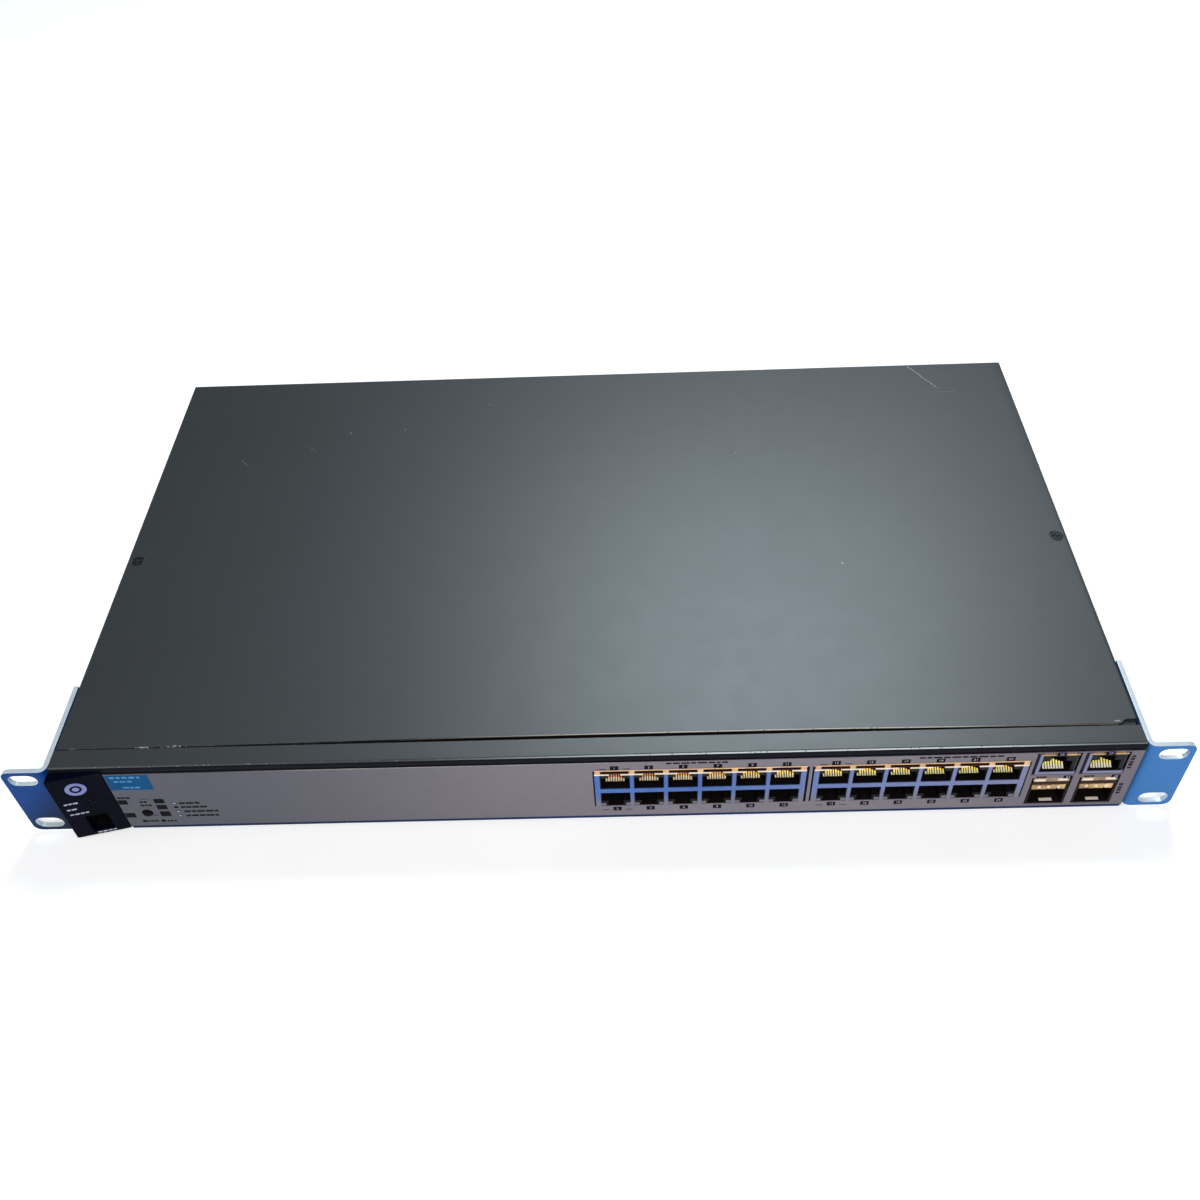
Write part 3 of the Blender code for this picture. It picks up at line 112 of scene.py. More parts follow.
def join(name, pieces):
    deselectAll()
    for piece in pieces:
        piece.select_set(True)
    bpy.context.view_layer.objects.active = pieces[0]
    if len(pieces) > 1:
        bpy.ops.object.join()
    pieces[0].name = name
    return pieces[0]


def copyTo(piece, x=0, y=0, z=0, flip=False):
    twin = bpy.data.objects.new(piece.name, piece.data.copy())
    bpy.context.scene.collection.objects.link(twin)
    if flip:  # upside down, about the underside
        twin.data.transform(Matrix.Diagonal((1, 1, -1, 1)))
        twin.data.flip_normals()
    twin.data.transform(Matrix.Translation((x * mm, y * mm, z * mm)))
    return twin


def applyAll(piece):
    pick(piece)
    for modifier in list(piece.modifiers):
        bpy.ops.object.modifier_apply(modifier=modifier.name)


def softEdges(piece, width, segments=2, angle=30):
    edges = piece.modifiers.new("edges", "BEVEL")
    edges.width = width * mm
    edges.segments = segments
    edges.limit_method = "ANGLE"
    edges.angle_limit = math.radians(angle)
    edges.miter_outer = "MITER_ARC"
    applyAll(piece)
    bpy.ops.object.shade_smooth_by_angle(angle=math.radians(40))
    even = piece.modifiers.new("even", "WEIGHTED_NORMAL")  # wide flat faces stay flat
    even.keep_sharp = True
    even.weight = 100
    applyAll(piece)
    return piece


def carve(piece, cutters):
    cutter = join("cutter", cutters)
    cut = piece.modifiers.new("cut", "BOOLEAN")
    cut.object = cutter
    cut.solver = "EXACT"
    applyAll(piece)
    bpy.data.objects.remove(cutter)
    return piece


def chooseFaces(piece, test):
    # test gets a face's middle, in the same millimetres, and its normal
    pick(piece)
    bpy.ops.object.mode_set(mode="EDIT")
    bpy.ops.mesh.select_mode(type="FACE")
    bpy.ops.mesh.select_all(action="DESELECT")
    bpy.ops.object.mode_set(mode="OBJECT")
    for face in piece.data.polygons:
        middle = Vector((face.center.x, face.center.y - labelPlane, face.center.z)) / mm
        face.select = bool(test(middle, face.normal))
    bpy.ops.object.mode_set(mode="EDIT")


def moveFaces(x=0, y=0, z=0):
    bpy.ops.transform.translate(value=(x * mm, y * mm, z * mm))


def facesFront(middle, normal):
    return normal.y < -0.5


def facesBack(middle, normal):
    return normal.y > 0.5


def swellFront(piece, rim, outward, upward=0):
    # the front face gets a smaller face inside a rim, and the smaller face moves
    chooseFaces(piece, facesFront)
    bpy.ops.mesh.inset(thickness=rim * mm)
    moveFaces(y=outward, z=upward)
    bpy.ops.object.mode_set(mode="OBJECT")


def pushFaces(x=0, y=0, z=0):
    bpy.ops.mesh.extrude_region_move(TRANSFORM_OT_translate={"value": (x * mm, y * mm, z * mm)})


def paint(piece, look, body="chassis"):
    piece.data.materials.clear()
    piece.data.materials.append(look)
    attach(piece, body)
    return piece


def secondLook(piece, look, test):
    # the faces that pass the test take a second material
    piece.data.materials.append(look)
    number = len(piece.data.materials) - 1
    for face in piece.data.polygons:
        middle = Vector((face.center.x, face.center.y - labelPlane, face.center.z)) / mm
        if test(middle, face.normal):
            face.material_index = number


def nodeCopy(node):
    # a merged copy of a frame node's mesh, ready to be worked on
    twin = bpy.data.objects.new(node + "_shell", frame["nodes"][node].data.copy())
    bpy.context.scene.collection.objects.link(twin)
    twin.data.materials.clear()
    pick(twin)
    bpy.ops.object.mode_set(mode="EDIT")
    bpy.ops.mesh.select_all(action="SELECT")
    bpy.ops.mesh.remove_doubles(threshold=0.000002)
    bpy.ops.object.mode_set(mode="OBJECT")
    return twin


def standIn(piece, node, look, edge=0.15, segments=2):
    if edge:
        softEdges(piece, edge, segments)
    paint(piece, look, frame["nodes"][node]["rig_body"])
    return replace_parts(piece, node)


# materials

def tint(red, green, blue):
    # a paint chart's 0 to 255 colour as the shader wants it
    def straight(value):
        value /= 255
        return value / 12.92 if value <= 0.04045 else ((value + 0.055) / 1.055) ** 2.4
    return (straight(red), straight(green), straight(blue), 1.0)


def newGroup(name, inputs, outputs):
    group = bpy.data.node_groups.new(name, "ShaderNodeTree")
    for label, kind, value in inputs:
        socket = group.interface.new_socket(label, in_out="INPUT", socket_type="NodeSocket" + kind)
        socket.default_value = value
    for label in outputs:
        group.interface.new_socket(label, in_out="OUTPUT", socket_type="NodeSocketFloat")
    return group, group.nodes.new("NodeGroupInput"), group.nodes.new("NodeGroupOutput")


def addNode(tree, kind, settings=None, values=None):
    node = tree.nodes.new("ShaderNode" + kind)
    for key, value in (settings or {}).items():
        setattr(node, key, value)
    for key, value in (values or {}).items():
        node.inputs[key].default_value = value
    return node


def addPair(tree, operation, first, second):
    node = addNode(tree, "Math", {"operation": operation})
    for socket, value in zip(node.inputs, (first, second)):
        if isinstance(value, (int, float)):
            socket.default_value = value
        else:
            tree.links.new(value, socket)
    return node.outputs[0]


def stretch(tree, value, low, high, newLow=0.0, newHigh=1.0):
    node = addNode(tree, "MapRange", {"clamp": True}, {1: low, 2: high, 3: newLow, 4: newHigh})
    tree.links.new(value, node.inputs[0])
    return node.outputs[0]


def noiseAt(tree, where, scale, detail=3.0, rough=0.55):
    node = addNode(tree, "TexNoise", None, {"Detail": detail, "Roughness": rough})
    tree.links.new(where, node.inputs["Vector"])
    if isinstance(scale, (int, float)):
        node.inputs["Scale"].default_value = scale
    else:
        tree.links.new(scale, node.inputs["Scale"])
    return node.outputs["Fac"]


def makeCoatGrain():
    group, given, made = newGroup("coatGrain", [("Grain", "Float", 2600.0), ("Patch", "Float", 14.0)],
                                  ["Height", "Tone", "Gloss"])
    where = addNode(group, "TexCoord").outputs["Object"]
    fine = noiseAt(group, where, given.outputs["Grain"], 2.0, 0.6)
    broad = noiseAt(group, where, given.outputs["Patch"], 4.0, 0.55)
    mid = noiseAt(group, where, addPair(group, "MULTIPLY", given.outputs["Patch"], 11.0), 3.0, 0.6)
    group.links.new(fine, made.inputs["Height"])
    both = addPair(group, "ADD", addPair(group, "MULTIPLY", broad, 0.6), addPair(group, "MULTIPLY", mid, 0.4))
    group.links.new(stretch(group, both, 0.36, 0.64), made.inputs["Tone"])
    fineShare = addPair(group, "MULTIPLY", fine, 0.45)
    midShare = addPair(group, "MULTIPLY", mid, 0.55)
    mixed = addPair(group, "ADD", fineShare, midShare)
    group.links.new(stretch(group, mixed, 0.3, 0.7), made.inputs["Gloss"])
    return group


def makeEdgeRub():
    # where a bevelled normal leaves the true one there is an edge, broken up by noise
    group, given, made = newGroup("edgeRub", [("Width", "Float", 0.0005), ("Breaks", "Float", 260.0),
                                              ("Amount", "Float", 0.5)], ["Mask"])
    where = addNode(group, "TexCoord").outputs["Object"]
    bevel = addNode(group, "Bevel", {"samples": 4})
    group.links.new(given.outputs["Width"], bevel.inputs["Radius"])
    true = addNode(group, "NewGeometry").outputs["Normal"]
    dot = addNode(group, "VectorMath", {"operation": "DOT_PRODUCT"})
    group.links.new(bevel.outputs["Normal"], dot.inputs[0])
    group.links.new(true, dot.inputs[1])
    edge = stretch(group, dot.outputs["Value"], 0.995, 0.90)
    breaks = noiseAt(group, where, given.outputs["Breaks"], 4.0, 0.7)
    kept = addPair(group, "SUBTRACT", addPair(group, "ADD", breaks, given.outputs["Amount"]), 0.5)
    group.links.new(addPair(group, "MULTIPLY", edge, stretch(group, kept, 0.42, 0.62)), made.inputs["Mask"])
    return group


def makeSpecks():
    group, given, made = newGroup("straySpecks", [("Spread", "Float", 90.0), ("Size", "Float", 0.05),
                                                  ("Share", "Float", 0.3)], ["Mask"])
    where = addNode(group, "TexCoord").outputs["Object"]
    cells = addNode(group, "TexVoronoi", {"feature": "F1"}, {"Randomness": 1.0})
    group.links.new(where, cells.inputs["Vector"])
    group.links.new(given.outputs["Spread"], cells.inputs["Scale"])
    near = addPair(group, "LESS_THAN", cells.outputs["Distance"], given.outputs["Size"])
    split = addNode(group, "SeparateColor")
    group.links.new(cells.outputs["Color"], split.inputs[0])
    few = addPair(group, "LESS_THAN", split.outputs[0], given.outputs["Share"])
    group.links.new(addPair(group, "MULTIPLY", near, few), made.inputs["Mask"])
    return group


def makePlaceFade():
    # 0 to 1 along a direction across the object
    group, given, made = newGroup("placeFade", [("Along", "Vector", (1, 0, 0)), ("From", "Float", 0.0),
                                                ("To", "Float", 1.0)], ["Mask"])
    where = addNode(group, "TexCoord").outputs["Object"]
    dot = addNode(group, "VectorMath", {"operation": "DOT_PRODUCT"})
    group.links.new(where, dot.inputs[0])
    group.links.new(given.outputs["Along"], dot.inputs[1])
    fade = addNode(group, "MapRange", {"clamp": True, "interpolation_type": "SMOOTHSTEP"})
    group.links.new(dot.outputs["Value"], fade.inputs[0])
    group.links.new(given.outputs["From"], fade.inputs[1])
    group.links.new(given.outputs["To"], fade.inputs[2])
    group.links.new(fade.outputs[0], made.inputs["Mask"])
    return group


def makeScratch():
    group, given, made = newGroup("fineScratch", [
        ("Start", "Vector", (0, 0, 0)), ("Along", "Vector", (1, 0, 0)),
        ("Length", "Float", 0.02), ("Width", "Float", 0.0002)], ["Mask"])
    where = addNode(group, "TexCoord").outputs["Object"]
    waver = addNode(group, "TexNoise", None, {"Scale": 120.0, "Detail": 2.0})
    group.links.new(where, waver.inputs["Vector"])
    bend = addNode(group, "VectorMath", {"operation": "MULTIPLY_ADD"})
    group.links.new(waver.outputs["Color"], bend.inputs[0])
    bend.inputs[1].default_value = (0.0012, 0.0012, 0)
    group.links.new(where, bend.inputs[2])
    offset = addNode(group, "VectorMath", {"operation": "SUBTRACT"})
    group.links.new(bend.outputs[0], offset.inputs[0])
    group.links.new(given.outputs["Start"], offset.inputs[1])
    along = addNode(group, "VectorMath", {"operation": "DOT_PRODUCT"})
    group.links.new(offset.outputs[0], along.inputs[0])
    group.links.new(given.outputs["Along"], along.inputs[1])
    across = addNode(group, "VectorMath", {"operation": "CROSS_PRODUCT"})
    group.links.new(offset.outputs[0], across.inputs[0])
    group.links.new(given.outputs["Along"], across.inputs[1])
    height = addNode(group, "SeparateXYZ")
    group.links.new(across.outputs[0], height.inputs[0])
    distance = addPair(group, "ABSOLUTE", height.outputs[2], 0.0)
    thin = addPair(group, "LESS_THAN", distance, given.outputs["Width"])
    begun = addPair(group, "GREATER_THAN", along.outputs["Value"], 0.0)
    ended = addPair(group, "LESS_THAN", along.outputs["Value"], given.outputs["Length"])
    gaps = stretch(group, noiseAt(group, where, 900.0, 2.0), 0.40, 0.52)
    thinBegun = addPair(group, "MULTIPLY", thin, begun)
    endedGaps = addPair(group, "MULTIPLY", ended, gaps)
    mask = addPair(group, "MULTIPLY", thinBegun, endedGaps)
    group.links.new(mask, made.inputs["Mask"])
    return group


def makeChipPatch():
    # broken flakes around one place, longer across the front than they are deep
    group, given, made = newGroup("chipPatch", [
        ("Centre", "Vector", (0, 0, 0)), ("Reach", "Float", 0.01)], ["Mask"])
    where = addNode(group, "TexCoord").outputs["Object"]
    offset = addNode(group, "VectorMath", {"operation": "SUBTRACT"})
    group.links.new(where, offset.inputs[0])
    group.links.new(given.outputs["Centre"], offset.inputs[1])
    squeeze = addNode(group, "VectorMath", {"operation": "MULTIPLY"}, {1: (1.0, 9.0, 0.0)})
    group.links.new(offset.outputs[0], squeeze.inputs[0])
    far = addNode(group, "VectorMath", {"operation": "LENGTH"})
    group.links.new(squeeze.outputs[0], far.inputs[0])
    near = stretch(group, addPair(group, "DIVIDE", far.outputs["Value"], given.outputs["Reach"]), 1.0, 0.0)
    speckle = noiseAt(group, where, 800.0, 3.0, 0.7)
    denser = addPair(group, "ADD", speckle, addPair(group, "MULTIPLY", near, 0.2))
    flakes = stretch(group, denser, 0.60, 0.66)
    inReach = addPair(group, "GREATER_THAN", near, 0.02)
    group.links.new(addPair(group, "MULTIPLY", flakes, inReach), made.inputs["Mask"])
    return group


coatGrain = makeCoatGrain()
edgeRub = makeEdgeRub()
straySpecks = makeSpecks()
placeFade = makePlaceFade()
fineScratch = makeScratch()
chipPatch = makeChipPatch()


def useGroup(tree, group, values=None):
    node = tree.nodes.new("ShaderNodeGroup")
    node.node_tree = group
    for key, value in (values or {}).items():
        node.inputs[key].default_value = value
    return node


def blendColor(tree, mask, under, over):
    node = addNode(tree, "Mix", {"data_type": "RGBA", "clamp_factor": True})
    tree.links.new(mask, node.inputs[0])
    for socket, value in ((node.inputs[6], under), (node.inputs[7], over)):
        if isinstance(value, tuple):
            socket.default_value = value
        else:
            tree.links.new(value, socket)
    return node.outputs[2]


def makeFinish(name, use):
    # use: base and shade colours, patch and grain scales, bump depth, rough range, and the extras
    look = bpy.data.materials.new(name)
    look.use_nodes = True
    tree = look.node_tree
    shader = tree.nodes["Principled BSDF"]
    shader.inputs["Metallic"].default_value = use.get("metal", 0.0)
    shader.inputs["IOR"].default_value = use.get("ior", 1.5)
    shader.inputs["Specular IOR Level"].default_value = use.get("spec", 0.5)
    grain = useGroup(tree, coatGrain, {"Grain": use.get("grain", 2600.0), "Patch": use.get("patch", 14.0)})
    color = blendColor(tree, grain.outputs["Tone"], use["base"], use["shade"])
    low, high = use.get("rough", (0.4, 0.5))
    rough = stretch(tree, grain.outputs["Gloss"], 0.0, 1.0, low, high)
    for along, start, end, over in use.get("fades", []):
        fade = useGroup(tree, placeFade, {"Along": along, "From": start, "To": end})
        color = blendColor(tree, fade.outputs["Mask"], color, over)
    for start, along, length, width, over in use.get("scratches", []):
        line = useGroup(tree, fineScratch, {"Start": start, "Along": along, "Length": length, "Width": width})
        color = blendColor(tree, line.outputs["Mask"], color, over)
    for centre, reach, over in use.get("chips", []):
        flakes = useGroup(tree, chipPatch, {"Centre": centre, "Reach": reach})
        color = blendColor(tree, flakes.outputs["Mask"], color, over)
    if "specks" in use:
        spread, size, share, over = use["specks"]
        dots = useGroup(tree, straySpecks, {"Spread": spread, "Size": size, "Share": share})
        color = blendColor(tree, dots.outputs["Mask"], color, over)
    if "rub" in use:
        width, amount, over = use["rub"]
        rub = useGroup(tree, edgeRub, {"Width": width * mm, "Amount": amount})
        color = blendColor(tree, rub.outputs["Mask"], color, over)
    tree.links.new(color, shader.inputs["Base Color"])
    tree.links.new(rough, shader.inputs["Roughness"])
    bump = addNode(tree, "Bump", None, {"Strength": 0.6, "Distance": use.get("bump", 0.02) * mm})
    tree.links.new(grain.outputs["Height"], bump.inputs["Height"])
    tree.links.new(bump.outputs["Normal"], shader.inputs["Normal"])
    return look


coverFinish = {
    "base": tint(42, 46, 49), "shade": tint(37, 41, 43), "patch": 9.0, "grain": 2300.0, "bump": 0.025,
    "rough": (0.405, 0.435), "ior": 1.7, "specks": (70.0, 0.035, 0.16, tint(120, 128, 128)),
    "rub": (0.35, 0.42, tint(120, 124, 122)),
    "scratches": [
        ((0.1717, 0.1237, 0), (0.56, -0.83, 0), 0.0237, 0.00018, tint(170, 176, 178)),
        ((0.1761, 0.1020, 0), (1.00, -0.05, 0), 0.0163, 0.00012, tint(120, 126, 128)),
        ((-0.1470, 0.0724, 0), (0.64, -0.77, 0), 0.0073, 0.00016, tint(96, 102, 104)),
        ((-0.1807, 0.0631, 0), (0.66, -0.75, 0), 0.0063, 0.00014, tint(110, 116, 118)),
    ],
    "chips": [((-0.1845, -0.1112, 0), 0.005, tint(196, 190, 168)),
              ((-0.173, -0.1112, 0), 0.007, tint(150, 146, 132)),
              ((-0.214, -0.1112, 0), 0.003, tint(120, 118, 108)),
              ((0.214, -0.1095, 0), 0.004, tint(170, 160, 146))],
}
coverCoat = makeFinish("coverCoat", coverFinish)
# the front's dark paint, also used as painted shade on the lower part of the front bend
frontCoatAndBendShade = makeFinish("frontCoatAndBendShade", {
    "base": tint(26, 28, 36), "shade": tint(20, 22, 29), "patch": 20.0, "grain": 2300.0, "bump": 0.02,
    "rough": (0.42, 0.52), "spec": 0.05})
# painted highlight on the top of the front bend: silver from the middle rightwards, dimmer at the right end
bendGlint = makeFinish("bendGlint", {
    "base": tint(46, 50, 54), "shade": tint(38, 42, 45), "patch": 60.0, "grain": 2300.0, "bump": 0.02,
    "rough": (0.405, 0.435), "ior": 1.7,
    "fades": [((1, 0, 0), -0.08, 0.06, tint(196, 204, 208)), ((1, 0, 0), 0.15, 0.21, tint(96, 100, 102))],
    "specks": (900.0, 0.3, 0.4, tint(110, 114, 116))})
# worn paint with a painted highlight: a bright cream line on the cover's front edge, fading towards both ends
wornEdgeAndHighlight = makeFinish("wornEdgeAndHighlight", {
    "base": tint(46, 50, 52), "shade": tint(38, 42, 44), "patch": 60.0, "grain": 2300.0, "bump": 0.02,
    "rough": (0.42, 0.5),
    "fades": [((1, 0, 0), -0.09, 0.03, tint(236, 232, 216)), ((1, 0, 0), 0.13, 0.19, tint(140, 134, 122))],
    "specks": (900.0, 0.3, 0.4, tint(120, 118, 108))})
panCoat = makeFinish("panCoat", {
    "base": tint(40, 44, 46), "shade": tint(34, 38, 40), "patch": 12.0, "grain": 2300.0, "bump": 0.03,
    "rough": (0.46, 0.56), "rub": (0.4, 0.45, tint(112, 116, 116))})
# painted shadow for the gap of the cover seam
seamShadow = makeFinish("seamShadow", {
    "base": tint(24, 18, 15), "shade": tint(16, 12, 11), "patch": 60.0, "grain": 2300.0, "bump": 0.02,
    "rough": (0.5, 0.6), "spec": 0.05})
# the fades are painted shade: the film is darker towards the left and a little darker at the right end
labelFilm = makeFinish("labelFilm", {
    "base": tint(129, 123, 132), "shade": tint(124, 118, 127), "patch": 30.0, "grain": 5200.0, "bump": 0.006,
    "rough": (0.40, 0.50), "spec": 0.12,
    "fades": [((-1, 0, 0), -0.03, 0.17, tint(86, 87, 97)), ((1, 0, 0), 0.11, 0.22, tint(112, 105, 114))]})
# painted highlight on the film's top edge, where it faces up; dimmer at the left and right
filmEdgeHighlight = makeFinish("filmEdgeHighlight", {
    "base": tint(196, 188, 186), "shade": tint(150, 144, 146), "patch": 60.0, "grain": 5200.0, "bump": 0.006,
    "rough": (0.40, 0.50), "spec": 0.1,
    "fades": [((-1, 0, 0), 0.10, 0.16, tint(90, 88, 94)), ((1, 0, 0), 0.0, 0.05, tint(118, 112, 120))]})
bezelGloss = makeFinish("bezelGloss", {
    "base": tint(8, 11, 29), "shade": tint(4, 6, 17), "patch": 40.0, "grain": 1400.0, "bump": 0.002,
    "rough": (0.12, 0.22), "spec": 0.015, "rub": (0.25, 0.3, tint(34, 40, 62))})
# painted reflection: the ears' steel shows the blue table; the left ear is a deeper blue and has painted
# shade towards its lower right by the bezel
earBlueReflection = makeFinish("earBlueReflection", {
    "base": tint(60, 118, 182), "shade": tint(52, 110, 174), "patch": 40.0, "grain": 3000.0, "bump": 0.008,
    "rough": (0.30, 0.42), "spec": 0.05, "rub": (0.3, 0.46, tint(120, 170, 214)),
    "fades": [((-1, 0, 0), 0.18, 0.225, tint(2, 62, 134)), ((0.7, 0, -0.7), -0.187, -0.162, tint(10, 30, 56)),
              ((1, 0, 0), 0.0, 0.1, tint(60, 118, 182))]})
# painted shade: the shaded blue table under the front, darker towards the left
tableShadeBlue = makeFinish("tableShadeBlue", {
    "base": tint(9, 44, 92), "shade": tint(7, 38, 84), "patch": 40.0, "grain": 3000.0, "bump": 0.008,
    "rough": (0.35, 0.45), "spec": 0.05, "fades": [((-1, 0, 0), 0.0, 0.16, tint(18, 32, 70))]})
bareEdge = makeFinish("bareEdge", {
    "base": tint(222, 232, 238), "shade": tint(196, 210, 220), "patch": 90.0, "grain": 3600.0, "bump": 0.02,
    "rough": (0.28, 0.45), "metal": 0.3})
# painted reflection: nickel plate coloured with the blue table's reflection, bluest at the left, greyer
# towards the right and towards the bottom
shieldPlate = makeFinish("shieldPlate", {
    "base": tint(72, 114, 188), "shade": tint(56, 96, 168), "patch": 60.0, "grain": 3200.0, "bump": 0.01,
    "rough": (0.30, 0.45), "metal": 0.15, "spec": 0.2,
    "fades": [((1, 0, 0), 0.02, 0.13, tint(112, 126, 176)), ((1, 0, 0), 0.13, 0.20, tint(124, 126, 160)),
              ((0, 0, -1), -0.019, -0.010, tint(116, 120, 134))]})
# painted shade: the cage metal is painted near-black brown for the shade deep inside it
cageDeepShade = makeFinish("cageDeepShade", {
    "base": tint(24, 18, 18), "shade": tint(14, 11, 11), "patch": 80.0, "grain": 2600.0, "bump": 0.01,
    "rough": (0.45, 0.6), "spec": 0.12, "rub": (0.2, 0.35, tint(90, 84, 86))})
jackBlack = makeFinish("jackBlack", {
    "base": tint(16, 12, 14), "shade": tint(10, 9, 11), "patch": 60.0, "grain": 2400.0, "bump": 0.01,
    "rough": (0.42, 0.6), "spec": 0.16})
keyBlack = makeFinish("keyBlack", {
    "base": tint(12, 10, 12), "shade": tint(18, 15, 18), "patch": 120.0, "grain": 3000.0, "bump": 0.01,
    "rough": (0.45, 0.6), "spec": 0.02})
# the fades are painted light: darker and more orange at the left, brighter yellow towards the right
contactGold = makeFinish("contactGold", {
    "base": tint(206, 122, 66), "shade": tint(160, 80, 42), "patch": 180.0, "grain": 4200.0, "bump": 0.004,
    "rough": (0.34, 0.44), "metal": 0.3,
    "fades": [((1, 0, 0), 0.02, 0.10, tint(244, 204, 62)), ((1, 0, 0), 0.17, 0.185, tint(236, 224, 110))]})
# painted highlight on the lit front parts of the wires, yellower towards the right
wireLitHighlight = makeFinish("wireLitHighlight", {
    "base": tint(255, 238, 204), "shade": tint(250, 222, 170), "patch": 180.0, "grain": 4200.0, "bump": 0.004,
    "rough": (0.34, 0.44), "metal": 0.0,
    "fades": [((1, 0, 0), 0.05, 0.12, tint(255, 246, 176)), ((1, 0, 0), 0.17, 0.185, tint(255, 246, 218))]})
springBrass = makeFinish("springBrass", {
    "base": tint(240, 204, 132), "shade": tint(112, 64, 34), "patch": 130.0, "grain": 4200.0, "bump": 0.01,
    "rough": (0.34, 0.5), "metal": 0.2})
fingerCopper = makeFinish("fingerCopper", {
    "base": tint(236, 198, 152), "shade": tint(200, 152, 108), "patch": 150.0, "grain": 3600.0, "bump": 0.01,
    "rough": (0.3, 0.45), "metal": 0.35})
collarBrass = makeFinish("collarBrass", {
    "base": tint(176, 152, 124), "shade": tint(132, 104, 78), "patch": 190.0, "grain": 3600.0, "bump": 0.01,
    "rough": (0.3, 0.45), "metal": 0.3})
# painted shade: shadowed copper in the gaps behind the fingers and under the collar
fingerShade = makeFinish("fingerShade", {
    "base": tint(62, 24, 15), "shade": tint(30, 12, 9), "patch": 220.0, "grain": 3600.0, "bump": 0.01,
    "rough": (0.5, 0.65), "spec": 0.2})
lipCream = makeFinish("lipCream", {
    "base": tint(250, 238, 222), "shade": tint(232, 208, 184), "patch": 160.0, "grain": 3600.0, "bump": 0.01,
    "rough": (0.3, 0.45), "metal": 0.05})
screwSteel = makeFinish("screwSteel", {
    "base": tint(176, 182, 188), "shade": tint(142, 148, 154), "patch": 160.0, "grain": 4200.0, "bump": 0.01,
    "rough": (0.24, 0.4), "metal": 1.0})
screwBlack = makeFinish("screwBlack", {
    "base": tint(30, 32, 34), "shade": tint(20, 22, 24), "patch": 200.0, "grain": 4200.0, "bump": 0.012,
    "rough": (0.28, 0.42), "metal": 0.3, "rub": (0.2, 0.55, tint(140, 144, 146))})
inkBlack = makeFinish("inkBlack", {
    "base": tint(14, 12, 17), "shade": tint(20, 18, 24), "patch": 200.0, "grain": 5200.0, "bump": 0.004,
    "rough": (0.4, 0.5), "spec": 0.02})
inkGrey = makeFinish("inkGrey", {
    "base": tint(34, 30, 40), "shade": tint(50, 46, 56), "patch": 300.0, "grain": 5200.0, "bump": 0.004,
    "rough": (0.4, 0.5), "spec": 0.02})
inkBlue = makeFinish("inkBlue", {
    "base": tint(14, 80, 128), "shade": tint(10, 72, 118), "patch": 120.0, "grain": 5200.0, "bump": 0.004,
    "rough": (0.4, 0.5), "spec": 0.03})
inkPale = makeFinish("inkPale", {
    "base": tint(184, 188, 212), "shade": tint(150, 154, 184), "patch": 200.0, "grain": 5200.0, "bump": 0.004,
    "rough": (0.4, 0.5), "spec": 0.2})
inkSky = makeFinish("inkSky", {
    "base": tint(72, 146, 196), "shade": tint(50, 124, 178), "patch": 200.0, "grain": 5200.0, "bump": 0.004,
    "rough": (0.4, 0.5), "spec": 0.2})
badgeBlue = makeFinish("badgeBlue", {
    "base": tint(128, 136, 190), "shade": tint(104, 114, 176), "patch": 160.0, "grain": 3200.0, "bump": 0.004,
    "rough": (0.22, 0.34), "spec": 0.3})
pipeClear = makeFinish("pipeClear", {
    "base": tint(20, 24, 34), "shade": tint(14, 17, 26), "patch": 160.0, "grain": 3200.0, "bump": 0.004,
    "rough": (0.5, 0.6), "spec": 0.02})
boardGreen = makeFinish("boardGreen", {
    "base": tint(26, 84, 44), "shade": tint(18, 66, 34), "patch": 90.0, "grain": 1600.0, "bump": 0.02,
    "rough": (0.35, 0.5)})
sinkBlack = makeFinish("sinkBlack", {
    "base": tint(34, 34, 36), "shade": tint(24, 24, 26), "patch": 90.0, "grain": 2600.0, "bump": 0.01,
    "rough": (0.4, 0.5), "metal": 0.7})
canSleeve = makeFinish("canSleeve", {
    "base": tint(44, 52, 88), "shade": tint(34, 42, 74), "patch": 90.0, "grain": 2600.0, "bump": 0.01,
    "rough": (0.25, 0.35)})
tapeYellow = makeFinish("tapeYellow", {
    "base": tint(206, 176, 70), "shade": tint(190, 158, 56), "patch": 60.0, "grain": 1800.0, "bump": 0.02,
    "rough": (0.4, 0.55)})
filmMilky = makeFinish("filmMilky", {
    "base": tint(196, 196, 188), "shade": tint(182, 182, 172), "patch": 30.0, "grain": 1800.0, "bump": 0.01,
    "rough": (0.35, 0.5)})
print("materials ready:", len(bpy.data.materials))

slotLook = {
    "painted_steel": panCoat, "label_film": labelFilm, "bezel_plastic": bezelGloss, "ear_coating": earBlueReflection,
    "bright_steel": screwSteel, "shield_nickel": shieldPlate, "jack_plastic": jackBlack,
    "contact_gold": contactGold, "finger_copper": fingerCopper, "board_green": boardGreen,
    "black_aluminium": sinkBlack, "can_blue": canSleeve, "tape_yellow": tapeYellow,
    "clear_plastic": pipeClear, "insulating_film": filmMilky,
}
for node, piece in frame["nodes"].items():
    for number in range(len(piece.data.materials)):
        piece.data.materials[number] = slotLook[slotOf[node]]


# sheet metal case

case = {
    "coverEdge": 0.35, "seamRear": 10.2,
    # how far the cover's front edge stands back from the front strip, along the front
    "seamOpening": ((-222, 0.0), (-160, 0.25), (-100, 0.9), (-50, 1.45), (0, 1.6), (95, 1.5),
                    (150, 0.95), (214, 0.7), (216, 2.6), (222, 2.7)),
}


def seamAt(x):
    points = case["seamOpening"]
    for (left, first), (right, second) in zip(points, points[1:]):
        if left <= x <= right:
            return first + (second - first) * (x - left) / (right - left)
    return 0.0


